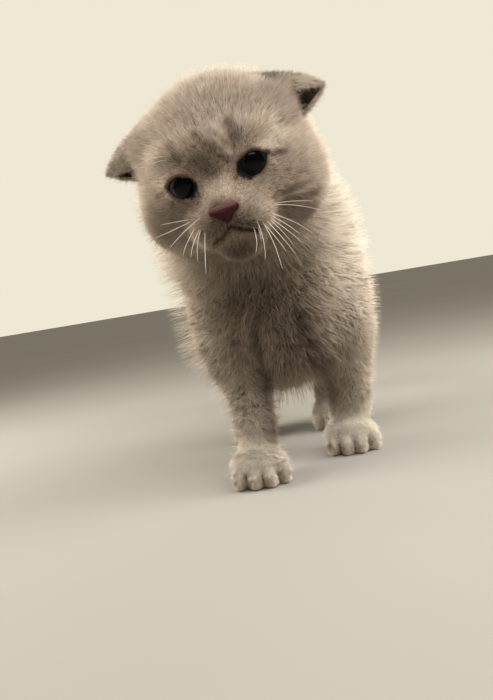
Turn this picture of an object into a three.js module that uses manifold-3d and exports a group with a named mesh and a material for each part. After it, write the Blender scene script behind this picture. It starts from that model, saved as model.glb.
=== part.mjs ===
// A Scottish Fold kitten, about five weeks old, standing with its right forefoot one step ahead
// and its head tilted. Life size, in millimetres, +Z up. The kitten faces -Y and its left side
// is +X. The origin is on the floor, under the middle of the model.
// Every solid reaches out to the tips of the short, plush coat.
import * as THREE from "three";
import { mergeVertices } from "three/addons/utils/BufferGeometryUtils.js";
import Module from "manifold-3d";

const wasm = await Module();
wasm.setup();

// Driving dimensions
const gap = 0.3; // clear space between two parts that touch
const backHeight = 105;
const bellyHeight = 27;
const trunkWidth = 64;
const headWidth = 64;
const pawWidth = 23.5;
const tailLength = 104;

// Materials
const furMaterial = new THREE.MeshStandardMaterial({ color: 0xb5a38c, roughness: 0.95 });
const eyeMaterial = new THREE.MeshStandardMaterial({ color: 0x11141a, roughness: 0.08 });
const noseMaterial = new THREE.MeshStandardMaterial({ color: 0x6d3b36, roughness: 0.55 });

// Shapes as distance fields: negative inside, positive outside

// An egg-shaped mass of flesh, turned about the vertical.
function mass([cx, cy, cz], [rx, ry, rz], turn = 0) {
  const c = Math.cos(turn);
  const s = Math.sin(turn);
  return (p) => {
    const dx = p.x - cx;
    const dy = p.y - cy;
    const x = c * dx + s * dy;
    const y = c * dy - s * dx;
    const z = p.z - cz;
    const near = Math.hypot(x / rx, y / ry, z / rz);
    const slope = Math.hypot(x / rx ** 2, y / ry ** 2, z / rz ** 2);
    return slope > 1e-9 ? (near * (near - 1)) / slope : -Math.min(rx, ry, rz);
  };
}

// A limb through knots [x, y, z, radius], its radius changing evenly between them.
function limb(knots) {
  const bones = knots.slice(1).map((end, i) => {
    const start = knots[i];
    const a = new THREE.Vector3(start[0], start[1], start[2]);
    const b = new THREE.Vector3(end[0], end[1], end[2]);
    return { line: new THREE.Line3(a, b), from: start[3], to: end[3] };
  });
  const foot = new THREE.Vector3();
  return (p) => {
    let least = Infinity;
    for (const { line, from, to } of bones) {
      const t = line.closestPointToPointParameter(p, true);
      line.at(t, foot);
      least = Math.min(least, foot.distanceTo(p) - THREE.MathUtils.lerp(from, to, t));
    }
    return least;
  };
}

// Several fields run together, with soft valleys between them.
function blend(soft, ...fields) {
  return (p) => {
    let depth = Infinity;
    for (const field of fields) {
      const next = field(p);
      const near = Math.max(soft - Math.abs(depth - next), 0) / soft;
      depth = Math.min(depth, next) - (near * near * soft) / 4;
    }
    return depth;
  };
}

// The same field seen from the other side of the animal.
const mirrored = (field) => (p) => field(new THREE.Vector3(-p.x, p.y, p.z));

// Skins and solids

// Where a ray that starts inside a field leaves it.
function reach(field, start, direction, out) {
  const p = new THREE.Vector3();
  const depth = (t) => field(p.copy(start).addScaledVector(direction, t)) - out;
  let near = 0;
  let far = 0;
  while (depth(far) < 0) {
    near = far;
    far += Math.max(-depth(far) * 0.7, 0.25);
  }
  for (let i = 0; i < 18; i += 1) {
    const middle = (near + far) / 2;
    if (depth(middle) < 0) near = middle;
    else far = middle;
  }
  return p.copy(start).addScaledVector(direction, far).clone();
}

// A closed skin of a field. Rays leave an axis that lies inside it and fan out past both its ends.
// `around`, `frontCap`, `cap` and `along` count the rays round the axis, over its first and last
// ends, and down its length, and `ease` spaces the rays over the first end.
function wrap(field, axis, { around, cap, along, out = 0, frontCap = cap, ease = (s) => s }) {
  const rows = [];
  for (let k = 0; k <= frontCap; k += 1) {
    rows.push({ at: 0, lean: -Math.PI / 2 + (Math.PI / 2) * ease(k / frontCap) });
  }
  for (let k = 1; k <= along; k += 1) rows.push({ at: k / along, lean: 0 });
  for (let k = 1; k <= cap; k += 1) rows.push({ at: 1, lean: ((Math.PI / 2) * k) / cap });

  const sideways = new THREE.Vector3(1, 0, 0);
  const points = [];
  const rings = rows.map(({ at, lean }, row) => {
    const start = axis.getPointAt(at);
    const ahead = axis.getTangentAt(at);
    const right = sideways.clone().addScaledVector(ahead, -sideways.dot(ahead)).normalize();
    const up = ahead.clone().cross(right);
    const isPole = row === 0 || row === rows.length - 1;
    return Array.from({ length: isPole ? 1 : around }, (_, j) => {
      const turn = (2 * Math.PI * j) / around;
      const direction = right
        .clone()
        .multiplyScalar(Math.cos(turn) * Math.cos(lean))
        .addScaledVector(up, Math.sin(turn) * Math.cos(lean))
        .addScaledVector(ahead, Math.sin(lean));
      points.push(reach(field, start, direction.normalize(), out));
      return points.length - 1;
    });
  });

  const faces = [];
  rings.slice(1).forEach((upper, k) => {
    const lower = rings[k];
    for (let j = 0; j < around; j += 1) {
      const next = (j + 1) % around;
      if (lower.length === 1) faces.push(lower[0], upper[next], upper[j]);
      else if (upper.length === 1) faces.push(upper[0], lower[j], lower[next]);
      else {
        faces.push(lower[j], lower[next], upper[next]);
        faces.push(lower[j], upper[next], upper[j]);
      }
    }
  });
  return new THREE.BufferGeometry().setFromPoints(points).setIndex(faces);
}

// A smooth line through points; extra numbers after x, y, z are left out.
const line = (knots) =>
  new THREE.CatmullRomCurve3(knots.map(([x, y, z]) => new THREE.Vector3(x, y, z)));

// A wrapped field round a limb's own line, as used for grooves and other small round tools.
const tube = (knots, around, along) =>
  wrap(limb(knots), line(knots), { around, cap: 3, along });

function solidOf(geometry) {
  const bare = geometry.clone();
  bare.deleteAttribute("normal");
  bare.deleteAttribute("uv");
  const merged = mergeVertices(bare, 1e-4);
  return new wasm.Manifold(
    new wasm.Mesh({
      numProp: 3,
      vertProperties: new Float32Array(merged.attributes.position.array),
      triVerts: new Uint32Array(merged.index.array),
    }),
  );
}

const ball = ([x, y, z], [rx, ry, rz], wide = 16, high = 12) =>
  solidOf(new THREE.SphereGeometry(1, wide, high).scale(rx, ry, rz).translate(x, y, z));

const join = (...solids) => solids.reduce((a, b) => a.add(b));

// The largest closed surface of a solid, as a named mesh.
function part(name, solid, material) {
  const body = solid.decompose().reduce((a, b) => (a.volume() > b.volume() ? a : b));
  const { numProp, numVert, vertProperties, triVerts } = body.getMesh();
  const points = [];
  for (let i = 0; i < numVert; i += 1) {
    points.push(new THREE.Vector3().fromArray(vertProperties, i * numProp));
  }
  const geometry = new THREE.BufferGeometry()
    .setFromPoints(points)
    .setIndex(new THREE.BufferAttribute(triVerts, 1));
  geometry.computeVertexNormals();
  const mesh = new THREE.Mesh(geometry, material);
  mesh.name = name;
  return mesh;
}

// Head, in its own frame: it looks along -Y, and its middle is the middle of the skull
const headPlace = { at: [-14.3, -35, 107.6], yaw: -8.5, pitch: 15, roll: -8.1 };
const skull = headWidth / 2;

const skullMass = mass([0, 4, 4.5], [skull * 0.93, 29.5, 27.5]);
const cheekMass = mass([15, -1.5, -7.8], [skull - 14.8, 20, 15.6]);
const jawMass = mass([0, -7, -14.5], [20, 20, 13.2]);
const muzzleMass = mass([0, -23.5, -11], [12.4, 10.5, 8.6]);
const whiskerPad = mass([5.7, -27.1, -12.2], [6.9, 6.9, 5.4], 0.25);
const chinMass = mass([0, -22.8, -20], [7.2, 7.7, 5.5]);
const browMass = mass([10, -17.5, 10.2], [8.5, 6.2, 4.4]);
const bridgeLimb = limb([
  [0, -20.5, 9, 6.2],
  [0, -23.6, 0.5, 5.2],
  [0, -29.4, -5, 4.1],
]);

// Eyes: balls in the skull, and lids that lie over them and part in an almond opening
const eye = { at: [10.55, -18.8, 2.2], radius: 6, outward: 8, upward: 2 };
const lid = { halfWidth: 4.4, halfHeight: 3.7, cover: 1.05, rim: 0.7, slant: 13 };

const lidMass = mass(eye.at, Array(3).fill(eye.radius + lid.cover));

const headField = (() => {
  const round = blend(9, skullMass, cheekMass, mirrored(cheekMass), jawMass);
  const lidded = blend(3, round, browMass, mirrored(browMass), lidMass, mirrored(lidMass));
  const bridged = blend(6, lidded, muzzleMass, bridgeLimb);
  return blend(3.2, bridged, whiskerPad, mirrored(whiskerPad), chinMass);
})();

const headAxis = line([
  [0, -3, -4],
  [0, -1, -3.6],
]);
const headSkin = (out) =>
  wrap(headField, headAxis, {
    around: 48,
    frontCap: 25,
    cap: 8,
    along: 1,
    out,
    ease: (s) => s * (0.72 + 0.28 * s),
  });

// Points round the opening of the lids, `spread` wider than it and `far` from the eye's middle.
function lidPoints(side, spread, far, count) {
  const look = new THREE.Euler(
    THREE.MathUtils.degToRad(eye.upward),
    THREE.MathUtils.degToRad(-lid.slant * side),
    THREE.MathUtils.degToRad(eye.outward * side),
    "ZXY",
  );
  const middle = new THREE.Vector3(eye.at[0] * side, eye.at[1], eye.at[2]);
  return Array.from({ length: count }, (_, k) => {
    const turn = (2 * Math.PI * k) / count;
    const x = (lid.halfWidth + spread) * Math.cos(turn);
    const z = (lid.halfHeight + spread) * Math.sin(turn) * (1 - 0.2 * Math.cos(turn) ** 2);
    const y = -Math.sqrt((eye.radius + 0.5) ** 2 - x ** 2 - z ** 2);
    return new THREE.Vector3(x, y, z).setLength(far).applyEuler(look).add(middle);
  });
}

// The rounded margin of the lids.
const lidRim = (side) => {
  const path = new THREE.CatmullRomCurve3(lidPoints(side, 0.45, eye.radius + 0.5, 20), true);
  return solidOf(new THREE.TubeGeometry(path, 28, lid.rim, 6, true));
};

// The opening between the lids, as a solid to cut with.
function lidOpening(side) {
  const count = 28;
  const inner = lidPoints(side, 0, eye.radius - 2, count);
  const outer = lidPoints(side, 0, eye.radius + 6, count);
  const middleOf = (ring) =>
    ring.reduce((sum, p) => sum.add(p), new THREE.Vector3()).divideScalar(count);
  const points = [...inner, ...outer, middleOf(inner), middleOf(outer)];
  const faces = [];
  for (let k = 0; k < count; k += 1) {
    const next = (k + 1) % count;
    faces.push(k, next, count + next);
    faces.push(k, count + next, count + k);
    faces.push(2 * count, next, k);
    faces.push(2 * count + 1, count + k, count + next);
  }
  return solidOf(new THREE.BufferGeometry().setFromPoints(points).setIndex(faces));
}

const eyeBall = (side, extra = 0) =>
  ball(
    [eye.at[0] * side, eye.at[1], eye.at[2]],
    Array(3).fill(eye.radius + extra),
    20,
    13,
  );

// Nose leather: a rounded wedge with a comma-shaped nostril on each side
const nose = { at: [0, -32.8, -7.5], halfWidth: 4.7, height: 5, depth: 3.4 };

const noseField = (() => {
  const [x, y, z] = nose.at;
  const wing = mass([x + nose.halfWidth * 0.5, y, z + 0.7], [nose.halfWidth * 0.52, nose.depth, 1.7]);
  const tip = mass([x, y - 0.2, z - 0.6], [nose.halfWidth * 0.5, nose.depth, nose.height / 2]);
  return blend(1.6, wing, mirrored(wing), tip);
})();

const noseSkin = (out) =>
  wrap(noseField, line([[0, nose.at[1] - 0.4, nose.at[2]], [0, nose.at[1] + 0.4, nose.at[2]]]), {
    around: 22,
    cap: 5,
    along: 1,
    out,
  });

// A point `deep` behind the front of a field, found from y = `from` inside it.
function onFront(field, from, x, z, deep) {
  const p = reach(field, new THREE.Vector3(x, from, z), new THREE.Vector3(0, -1, 0), 0);
  return [p.x, p.y + deep, p.z];
}

// Nostrils: commas that curl out and up round each wing of the nose.
const nostril = (side) =>
  solidOf(
    tube(
      [
        [...onFront(noseField, nose.at[1], 1.7 * side, nose.at[2] - 0.4, -0.2), 0.75],
        [...onFront(noseField, nose.at[1], 2.3 * side, nose.at[2] - 0.3, 0.4), 0.7],
        [...onFront(noseField, nose.at[1], 3.4 * side, nose.at[2] + 0.1, 0.2), 0.55],
        [nose.halfWidth * 1.05 * side, nose.at[1] - 0.8, nose.at[2] + 0.4, 0.4],
      ],
      6,
      6,
    ),
  );

// Mouth: a line down from the nose, and lips that part and droop on each side of it
const mouth = { top: -13, corner: [7.6, -17.5], groove: 0.75 };

const lipLine = (side) => {
  const [far, low] = mouth.corner;
  const knots = [0, 0.33, 0.68, 1].map((share) => {
    const z = THREE.MathUtils.lerp(mouth.top, low, share ** 0.85);
    return [...onFront(headField, -15, far * share * side, z, 0.15), mouth.groove];
  });
  return solidOf(tube(knots, 6, 8));
};

const philtrum = solidOf(
  tube(
    [nose.at[2] - nose.height / 2, mouth.top].map((z) => [...onFront(headField, -15, 0, z, 0), 0.5]),
    6,
    3,
  ),
);

// Ears: each is half of a cone that opens forwards, with its upper margin folded down over it
const ear = { root: [15, 6, 14], height: 11, depth: 9, thick: 1.9 };
const earLeft = { tip: [37, -1.5, 15.6], fold: [55, 10] };
const earRight = { tip: [37.8, -1.5, 11.8], fold: [25, -35] };

function earSkin(side, { tip: end, fold }) {
  const steps = 9;
  const turns = 13;
  const root = new THREE.Vector3(...ear.root);
  const tip = new THREE.Vector3(...end);
  const out = tip.clone().sub(root).normalize();
  const up = new THREE.Vector3(0, 0.1, 1).addScaledVector(out, -out.z).normalize();
  const back = out.clone().cross(up).normalize().negate();
  const at = (t, share, inset) => {
    const folded = THREE.MathUtils.lerp(...fold, t ** 0.7); // the upper margin turns down further out
    const angle = THREE.MathUtils.degToRad(THREE.MathUtils.lerp(folded, 292, share));
    const full = Math.sin(angle) < 0 ? 2.8 : 1.7; // the lower margin hangs full almost to the tip
    const narrow = 1 - 0.12 * Math.sin(Math.PI * t);
    const taper = (1 - 0.93 * t ** 1.7) * narrow;
    const rim = Math.min(1, 4 * share, 4 * (1 - share)); // margins are thinner than the middle
    const wall = inset * ear.thick * (0.45 + 0.55 * rim) * (1 - 0.45 * t);
    const high = Math.max(ear.height * (1 - 0.93 * t ** full) * narrow - wall, 0.3);
    const deep = Math.max(ear.depth * taper - wall, 0.25);
    return root
      .clone()
      .lerp(tip, t)
      .addScaledVector(out, inset * -0.9 * t)
      .addScaledVector(up, high * Math.sin(angle) + 1.2 * Math.sin(Math.PI * t))
      .addScaledVector(back, -deep * Math.cos(angle));
  };
  const points = [];
  const index = (layer, i, j) => (layer * (steps + 1) + i) * (turns + 1) + j;
  for (const layer of [0, 1]) {
    for (let i = 0; i <= steps; i += 1) {
      for (let j = 0; j <= turns; j += 1) points.push(at(i / steps, j / turns, layer));
    }
  }
  const faces = [];
  const quad = (a, b, c, d) => faces.push(a, c, b, a, d, c);
  for (let i = 0; i < steps; i += 1) {
    for (let j = 0; j < turns; j += 1) {
      quad(index(0, i, j), index(0, i, j + 1), index(0, i + 1, j + 1), index(0, i + 1, j));
      quad(index(1, i, j), index(1, i + 1, j), index(1, i + 1, j + 1), index(1, i, j + 1));
    }
    quad(index(0, i, 0), index(0, i + 1, 0), index(1, i + 1, 0), index(1, i, 0));
    quad(index(0, i + 1, turns), index(0, i, turns), index(1, i, turns), index(1, i + 1, turns));
  }
  for (let j = 0; j < turns; j += 1) {
    quad(index(0, 0, j + 1), index(0, 0, j), index(1, 0, j), index(1, 0, j + 1));
    quad(index(0, steps, j), index(0, steps, j + 1), index(1, steps, j + 1), index(1, steps, j));
  }
  if (side < 0) {
    points.forEach((p) => p.setX(-p.x));
    faces.reverse();
  }
  return new THREE.BufferGeometry().setFromPoints(points).setIndex(faces);
}

const headPose = new THREE.Matrix4().compose(
  new THREE.Vector3(...headPlace.at),
  new THREE.Quaternion().setFromEuler(
    new THREE.Euler(
      THREE.MathUtils.degToRad(headPlace.pitch),
      THREE.MathUtils.degToRad(headPlace.roll),
      THREE.MathUtils.degToRad(headPlace.yaw),
      "ZXY",
    ),
  ),
  new THREE.Vector3(1, 1, 1),
);

function makeHead() {
  const group = new THREE.Group();
  group.applyMatrix4(headPose);
  const noseSolid = solidOf(noseSkin(0)).subtract(join(nostril(1), nostril(-1)));
  const face = solidOf(headSkin(0))
    .subtract(join(lidOpening(1), lidOpening(-1)))
    .add(join(lidRim(1), lidRim(-1)))
    .subtract(join(eyeBall(1, gap), eyeBall(-1, gap)))
    .subtract(solidOf(noseSkin(gap)))
    .subtract(join(lipLine(1), lipLine(-1), philtrum, nostril(1), nostril(-1)));
  const clearHead = solidOf(headSkin(gap));
  group.add(
    part("head", face, furMaterial),
    part("nose", noseSolid, noseMaterial),
    part("eye_left", eyeBall(1), eyeMaterial),
    part("eye_right", eyeBall(-1), eyeMaterial),
    part("ear_left", solidOf(earSkin(1, earLeft)).subtract(clearHead), furMaterial),
    part("ear_right", solidOf(earSkin(-1, earRight)).subtract(clearHead), furMaterial),
  );
  return group;
}

// Trunk: chest, ribs, belly, loins and rump, with the shoulders and haunches on its sides
const spineMiddle = (backHeight + bellyHeight) / 2;
const trunkDepth = backHeight - bellyHeight;
const girth = trunkWidth / 2;

const trunkField = blend(
  9,
  mass([-3, 8, spineMiddle - 3.5], [girth - 4, 26, trunkDepth / 2 - 3]),
  mass([0, 32, spineMiddle], [girth - 1, 34, trunkDepth / 2 - 1]),
  mass([3, 56, spineMiddle - 2.5], [girth + 0.5, 34, trunkDepth / 2 - 3.5]),
  mass([4, 76, spineMiddle + 3], [girth - 5, 26, trunkDepth / 2 - 7]),
  mass([-17, 9, backHeight - 21], [17, 19, 20]),
  mass([13, 11, backHeight - 21], [17, 19, 20]),
  mass([-5, -5, 71], [24, 16.5, 24]),
  mass([-25, 2, 62], [13.5, 17, 25]),
  mass([20.5, 10, 63], [14, 17, 26]),
  mass([-18, 69, 52], [14.5, 21, 24]),
  mass([24, 66, 52], [14.5, 21, 24]),
);
const trunkAxis = line([
  [-3, 0, 62],
  [0, 32, 64],
  [4, 78, 68],
]);
const trunkSkin = (out) =>
  wrap(trunkField, trunkAxis, { around: 30, cap: 6, along: 14, out });

// Neck: short and thick, from the nape and throat into the shoulders
const neckField = blend(
  8,
  mass([-10, -17, 94], [29.5, 20, 24]),
  mass([-6, 0, 86], [33, 21, 25]),
  mass([-9, -4, 98], [21, 20, 17]),
);
const neckAxis = line([
  [-10, -18, 95],
  [-6, 0, 87],
]);
const neckSkin = (out) =>
  wrap(neckField, neckAxis, { around: 24, cap: 5, along: 3, out });

// Each leg: the knots of its flesh, the line that its rays leave, and the place of its foot
const parting = 16.5; // height at which every foot is parted from its leg
const toe = { halfWidth: 3.3, halfLength: 5.6, halfHeight: 4.6, fan: 0.13 };

const legs = {
  foreleg_right: {
    foot: "forepaw_right",
    paw: { at: [-20.3, -17.5], size: [pawWidth / 2 - 0.7, 12, 7.6], heading: 0.05 },
    flesh: [
      [-23, 4, 60, 11],
      [-22.6, 4, 45, 12],
      [-20, -1, 31, 9.6],
      [-18.9, -9, 17, 8.2],
      [-19.6, -13, 9, 8],
    ],
  },
  foreleg_left: {
    foot: "forepaw_left",
    paw: { at: [17.3, 10.5], size: [pawWidth / 2 - 0.7, 12, 7.6], heading: -0.05 },
    flesh: [
      [20, 11, 60, 12],
      [20.8, 13, 46, 13],
      [20.3, 14, 31, 10.7],
      [19.2, 14.5, 17, 9.2],
      [17.8, 13, 9, 8.6],
    ],
  },
  hindleg_right: {
    foot: "hindpaw_right",
    paw: { at: [-21, 68], size: [pawWidth / 2 - 1.4, 13, 7.4], heading: 0.08 },
    line: [
      [-17.5, 70, 50],
      [-18, 75, 34],
      [-19.6, 79, 22],
      [-20.4, 76, 13],
      [-20.8, 69, 7],
    ],
    flesh: [
      [-17.5, 70, 50, 13],
      [-18.6, 62, 39, 12.4],
      [-19.6, 83, 27, 8.6],
      [-20.4, 79, 14, 7.8],
      [-20.8, 72, 7.6, 7.6],
    ],
  },
  hindleg_left: {
    foot: "hindpaw_left",
    paw: { at: [17.2, 64], size: [pawWidth / 2 - 1.4, 13, 7.4], heading: -0.08 },
    line: [
      [24, 66, 50],
      [22, 71, 34],
      [19, 75, 22],
      [17.8, 72, 13],
      [17.3, 65, 7],
    ],
    flesh: [
      [23, 66, 50, 13],
      [22.6, 58, 39, 12.4],
      [19, 79, 27, 8.6],
      [17.8, 75, 14, 7.8],
      [17.3, 68, 7.6, 7.6],
    ],
  },
};

// A foot: a pad, four toes that spread a little, and the joint above, which meets the leg.
function pawField({ at: [x, y], size, heading }, joint) {
  const toeFields = [-1.5, -0.5, 0.5, 1.5].map((k) => {
    const ahead = 9.9 - 1.25 * k * k;
    const side = k * (size[0] - toe.halfWidth) * 0.66;
    const c = Math.cos(heading);
    const s = Math.sin(heading);
    const middle = [x + c * side + s * ahead, y + s * side - c * ahead, toe.halfHeight - 0.9];
    return mass(middle, [toe.halfWidth, toe.halfLength, toe.halfHeight], heading + toe.fan * k);
  });
  const pad = mass([x, y, size[2] - 1.4], size, heading);
  return blend(3, blend(0.7, ...toeFields), pad, joint);
}

function makeLeg(name, clearBody) {
  const { foot, paw, flesh, line: bone = flesh } = legs[name];
  const [x, y] = paw.at;
  const legSkin = wrap(limb(flesh), line(bone), { around: 18, cap: 4, frontCap: 4, along: 9 });
  const field = pawField(paw, limb(flesh.slice(-2)));
  const sole = line([
    [x, y + 5, 6.5],
    [x + Math.sin(paw.heading) * 6, y - 6, 5],
  ]);
  const footSkin = wrap(field, sole, { around: 24, cap: 9, frontCap: 4, along: 3 });
  const leg = solidOf(legSkin).trimByPlane([0, 0, 1], parting + gap / 2).subtract(clearBody);
  const cut = solidOf(footSkin)
    .trimByPlane([0, 0, 1], 0)
    .trimByPlane([0, 0, -1], gap / 2 - parting);
  return [part(name, leg, furMaterial), part(foot, cut, furMaterial)];
}

// Tail: carried low, with its tip turned up a little
const tailTip = 70 + tailLength;
const tailKnots = [
  [4, 92, 82, 11],
  [5, 110, 77, 10.4],
  [6.5, 126, 66, 9.6],
  [9, 141, 51, 8.6],
  [12, tailTip - 20, 40, 7.4],
  [15, tailTip - 8, 34, 5.8],
  [17.5, tailTip, 33, 4],
];
const tailSkin = wrap(limb(tailKnots), line(tailKnots), { around: 14, cap: 4, along: 14 });

function makeKitten() {
  const group = new THREE.Group();
  const clearTrunk = solidOf(trunkSkin(gap));
  const clearHead = solidOf(headSkin(gap).applyMatrix4(headPose));
  const neck = solidOf(neckSkin(0)).subtract(clearTrunk).subtract(clearHead);
  const clearNeck = solidOf(neckSkin(gap));
  const trunk = solidOf(trunkSkin(0)).subtract(clearHead);
  group.add(makeHead(), part("torso", trunk, furMaterial), part("neck", neck, furMaterial));
  for (const name of Object.keys(legs)) {
    const [leg, foot] = makeLeg(name, join(clearTrunk, clearNeck));
    group.add(leg, foot);
  }
  group.add(part("tail", solidOf(tailSkin).subtract(clearTrunk), furMaterial));
  return group;
}

// The model stands with the origin on the floor under the middle of its box
const kitten = makeKitten();
kitten.updateMatrixWorld(true);
const box = new THREE.Box3().setFromObject(kitten, true);
kitten.position.set(-(box.min.x + box.max.x) / 2, -(box.min.y + box.max.y) / 2, -box.min.z);

export default kitten;
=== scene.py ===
# A Scottish Fold kitten, standing with its head tilted: skin, plush coat, eyes, nose and whiskers.
# Places are in millimetres in the kitten's own frame, as in the part's source: it faces -Y, its
# left side is +X and the floor is z = 0. They turn into metres only when a mesh is made.
import math

import bmesh
import bpy
import numpy as np
import openvdb
from mathutils import Matrix, Vector, kdtree


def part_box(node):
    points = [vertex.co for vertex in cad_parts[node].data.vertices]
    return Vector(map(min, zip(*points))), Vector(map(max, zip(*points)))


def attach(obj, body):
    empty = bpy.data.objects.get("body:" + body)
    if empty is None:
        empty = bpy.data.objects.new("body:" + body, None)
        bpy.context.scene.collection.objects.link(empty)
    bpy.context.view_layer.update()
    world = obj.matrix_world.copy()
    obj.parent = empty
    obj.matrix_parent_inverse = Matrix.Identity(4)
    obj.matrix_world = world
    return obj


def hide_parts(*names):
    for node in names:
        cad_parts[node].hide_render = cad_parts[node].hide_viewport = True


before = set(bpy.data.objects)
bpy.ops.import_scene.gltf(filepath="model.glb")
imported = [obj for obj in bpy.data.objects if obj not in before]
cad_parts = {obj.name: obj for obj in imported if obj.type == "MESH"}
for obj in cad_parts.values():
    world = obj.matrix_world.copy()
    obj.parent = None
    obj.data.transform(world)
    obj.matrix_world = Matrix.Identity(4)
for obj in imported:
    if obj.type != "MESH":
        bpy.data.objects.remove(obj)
for spare in ("Cube", "Light", "Camera"):  # what an unsaved file may start with
    if spare in bpy.data.objects:
        bpy.data.objects.remove(bpy.data.objects[spare])
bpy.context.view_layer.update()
metre = 0.001
print("frame: loaded", len(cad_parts), "nodes")

# Head and eyes: where they are, as in the solids
headPose = {"at": (-14.3, -35.0, 107.6), "yaw": -8.5, "pitch": 15, "roll": -8.1}
eye = {"at": (10.55, -18.8, 2.2), "radius": 6.0, "outward": 8, "upward": 2, "slant": 13,
       "lid": 1.05, "sunk": 0.6}


def turned(yaw, pitch, roll):
    about = [(yaw, "Z"), (pitch, "X"), (roll, "Y")]
    turns = [Matrix.Rotation(math.radians(angle), 3, axis) for angle, axis in about]
    return np.array(turns[0] @ turns[1] @ turns[2])


headTurn = turned(headPose["yaw"], headPose["pitch"], headPose["roll"])
headMiddle = np.array(headPose["at"])
eyeBoxes = [np.array(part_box(name)) for name in ("eye_left", "eye_right")]
betweenEyes = np.mean(eyeBoxes, axis=(0, 1)) / metre
shift = betweenEyes - headTurn @ np.array((0, *eye["at"][1:])) - headMiddle


def toHead(points):
    return (points - headMiddle) @ headTurn


def fromHead(points):
    return np.asarray(points, float) @ headTurn.T + headMiddle


def toWorld(points):
    return (np.asarray(points, float) + shift) * metre


# Camera: at the photo's own place, low before the kitten
view = {"at": (-18.0, -290.0, 69.3), "down": 4.6, "roll": 9.5, "lens": 39.6}


def makeCamera():
    data = bpy.data.cameras.new("camera")
    data.sensor_width = 36
    data.lens = view["lens"]
    data.clip_start = 0.005
    camera = bpy.data.objects.new("camera", data)
    bpy.context.scene.collection.objects.link(camera)
    tilt = Matrix.Rotation(math.radians(90 - view["down"]), 4, "X")
    roll = Matrix.Rotation(math.radians(-view["roll"]), 4, "Z")
    camera.matrix_world = Matrix.Translation(toWorld(view["at"])) @ tilt @ roll
    bpy.context.scene.camera = camera


makeCamera()


# Shader maths: a wire is one socket, and sums on wires add Math nodes
class Wire:
    def __init__(self, finish, socket):
        self.finish = finish
        self.socket = socket

    def maths(self, operation, *values):
        node = self.finish.node("ShaderNodeMath", {"operation": operation}, *values)
        return Wire(self.finish, node.outputs[0])

    def __add__(self, other):
        return self.maths("ADD", self, other)

    def __sub__(self, other):
        return self.maths("SUBTRACT", self, other)

    def __rsub__(self, other):
        return self.maths("SUBTRACT", other, self)

    def __mul__(self, other):
        return self.maths("MULTIPLY", self, other)

    def __truediv__(self, other):
        return self.maths("DIVIDE", self, other)

    def __rtruediv__(self, other):
        return self.maths("DIVIDE", other, self)

    __radd__ = __add__
    __rmul__ = __mul__


def paint(red, green, blue):
    linear = [((c / 255 + 0.055) / 1.055) ** 2.4 if c > 10 else c / 255 / 12.92
              for c in (red, green, blue)]
    return (*linear, 1)


class Network:
    def __init__(self, tree):
        self.tree = tree

    def node(self, kind, settings=None, *values, **named):
        made = self.tree.nodes.new(kind)
        for key, value in (settings or {}).items():
            if key == "stops":
                self.setStops(made.color_ramp, value)
            else:
                setattr(made, key, value)
        for key, value in [*enumerate(values), *named.items()]:
            socket = made.inputs[key.replace("_", " ") if isinstance(key, str) else key]
            self.feed(socket, value)
        return made

    def setStops(self, ramp, stops):
        while len(ramp.elements) < len(stops):
            ramp.elements.new(1)
        for element, (place, colour) in zip(ramp.elements, stops):
            element.position = place
            element.color = colour

    def feed(self, socket, value):
        if isinstance(value, Wire):
            self.tree.links.new(value.socket, socket)
        else:
            socket.default_value = value

    def wire(self, node, output=0):
        return Wire(self, node.outputs[output])

    def attribute(self, name, output="Fac"):
        return self.wire(self.node("ShaderNodeAttribute", {"attribute_name": name}), output)

    def noise(self, place, scale, detail=2.0):
        made = self.node("ShaderNodeTexNoise", None, Vector=place, Scale=scale, Detail=detail)
        return self.wire(made)

    def ramp(self, share, stops):
        return self.wire(self.node("ShaderNodeValToRGB", {"stops": stops}, share))

    def brightened(self, colour, value):
        return self.wire(self.node("ShaderNodeHueSaturation", None, Color=colour, Value=value))

    def mixed(self, share, under, over):
        made = self.node("ShaderNodeMix", {"data_type": "RGBA"}, share)
        self.feed(made.inputs[6], under)
        self.feed(made.inputs[7], over)
        return self.wire(made, 2)

    def between(self, value, low, high, bottom=0.0, top=1.0):
        settings = {"interpolation_type": "SMOOTHSTEP"}
        made = self.node("ShaderNodeMapRange", settings, value, low, high, bottom, top)
        return self.wire(made)


class Finish(Network):
    def __init__(self, name, **constants):
        self.material = bpy.data.materials.new(name)
        self.material.use_nodes = True
        super().__init__(self.material.node_tree)
        self.shader = self.tree.nodes["Principled BSDF"]
        for socket, value in constants.items():
            self.shader.inputs[socket.replace("_", " ")].default_value = value

    def surface(self, **wires):
        for socket, value in wires.items():
            self.feed(self.shader.inputs[socket.replace("_", " ")], value)

    def bump(self, height, strength, depth):
        made = self.node("ShaderNodeBump", None, Strength=strength, Distance=depth, Height=height)
        self.surface(Normal=self.wire(made))


# Shapes as distance fields over many points at once: negative inside, positive outside
def mass(place, radii, turn=0.0):
    c, s = math.cos(turn), math.sin(turn)
    radii = np.array(radii, float)

    def field(points):
        d = points - place
        if turn:
            d = np.stack([c * d[:, 0] + s * d[:, 1], c * d[:, 1] - s * d[:, 0], d[:, 2]], 1)
        near = np.sqrt(((d / radii) ** 2).sum(1))
        slope = np.sqrt(((d / radii**2) ** 2).sum(1))
        return np.where(near < 1e-6, -radii.min(), near * (near - 1) / np.maximum(slope, 1e-9))

    return field


def limb(knots):
    knots = np.array(knots, float)

    def field(points):
        least = np.full(len(points), 1e9)
        for a, b in zip(knots[:-1], knots[1:]):
            bone = b[:3] - a[:3]
            t = np.clip((points - a[:3]) @ bone / (bone @ bone), 0, 1)
            away = np.sqrt(((points - a[:3] - t[:, None] * bone) ** 2).sum(1))
            least = np.minimum(least, away - (a[3] + (b[3] - a[3]) * t))
        return least

    return field


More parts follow.
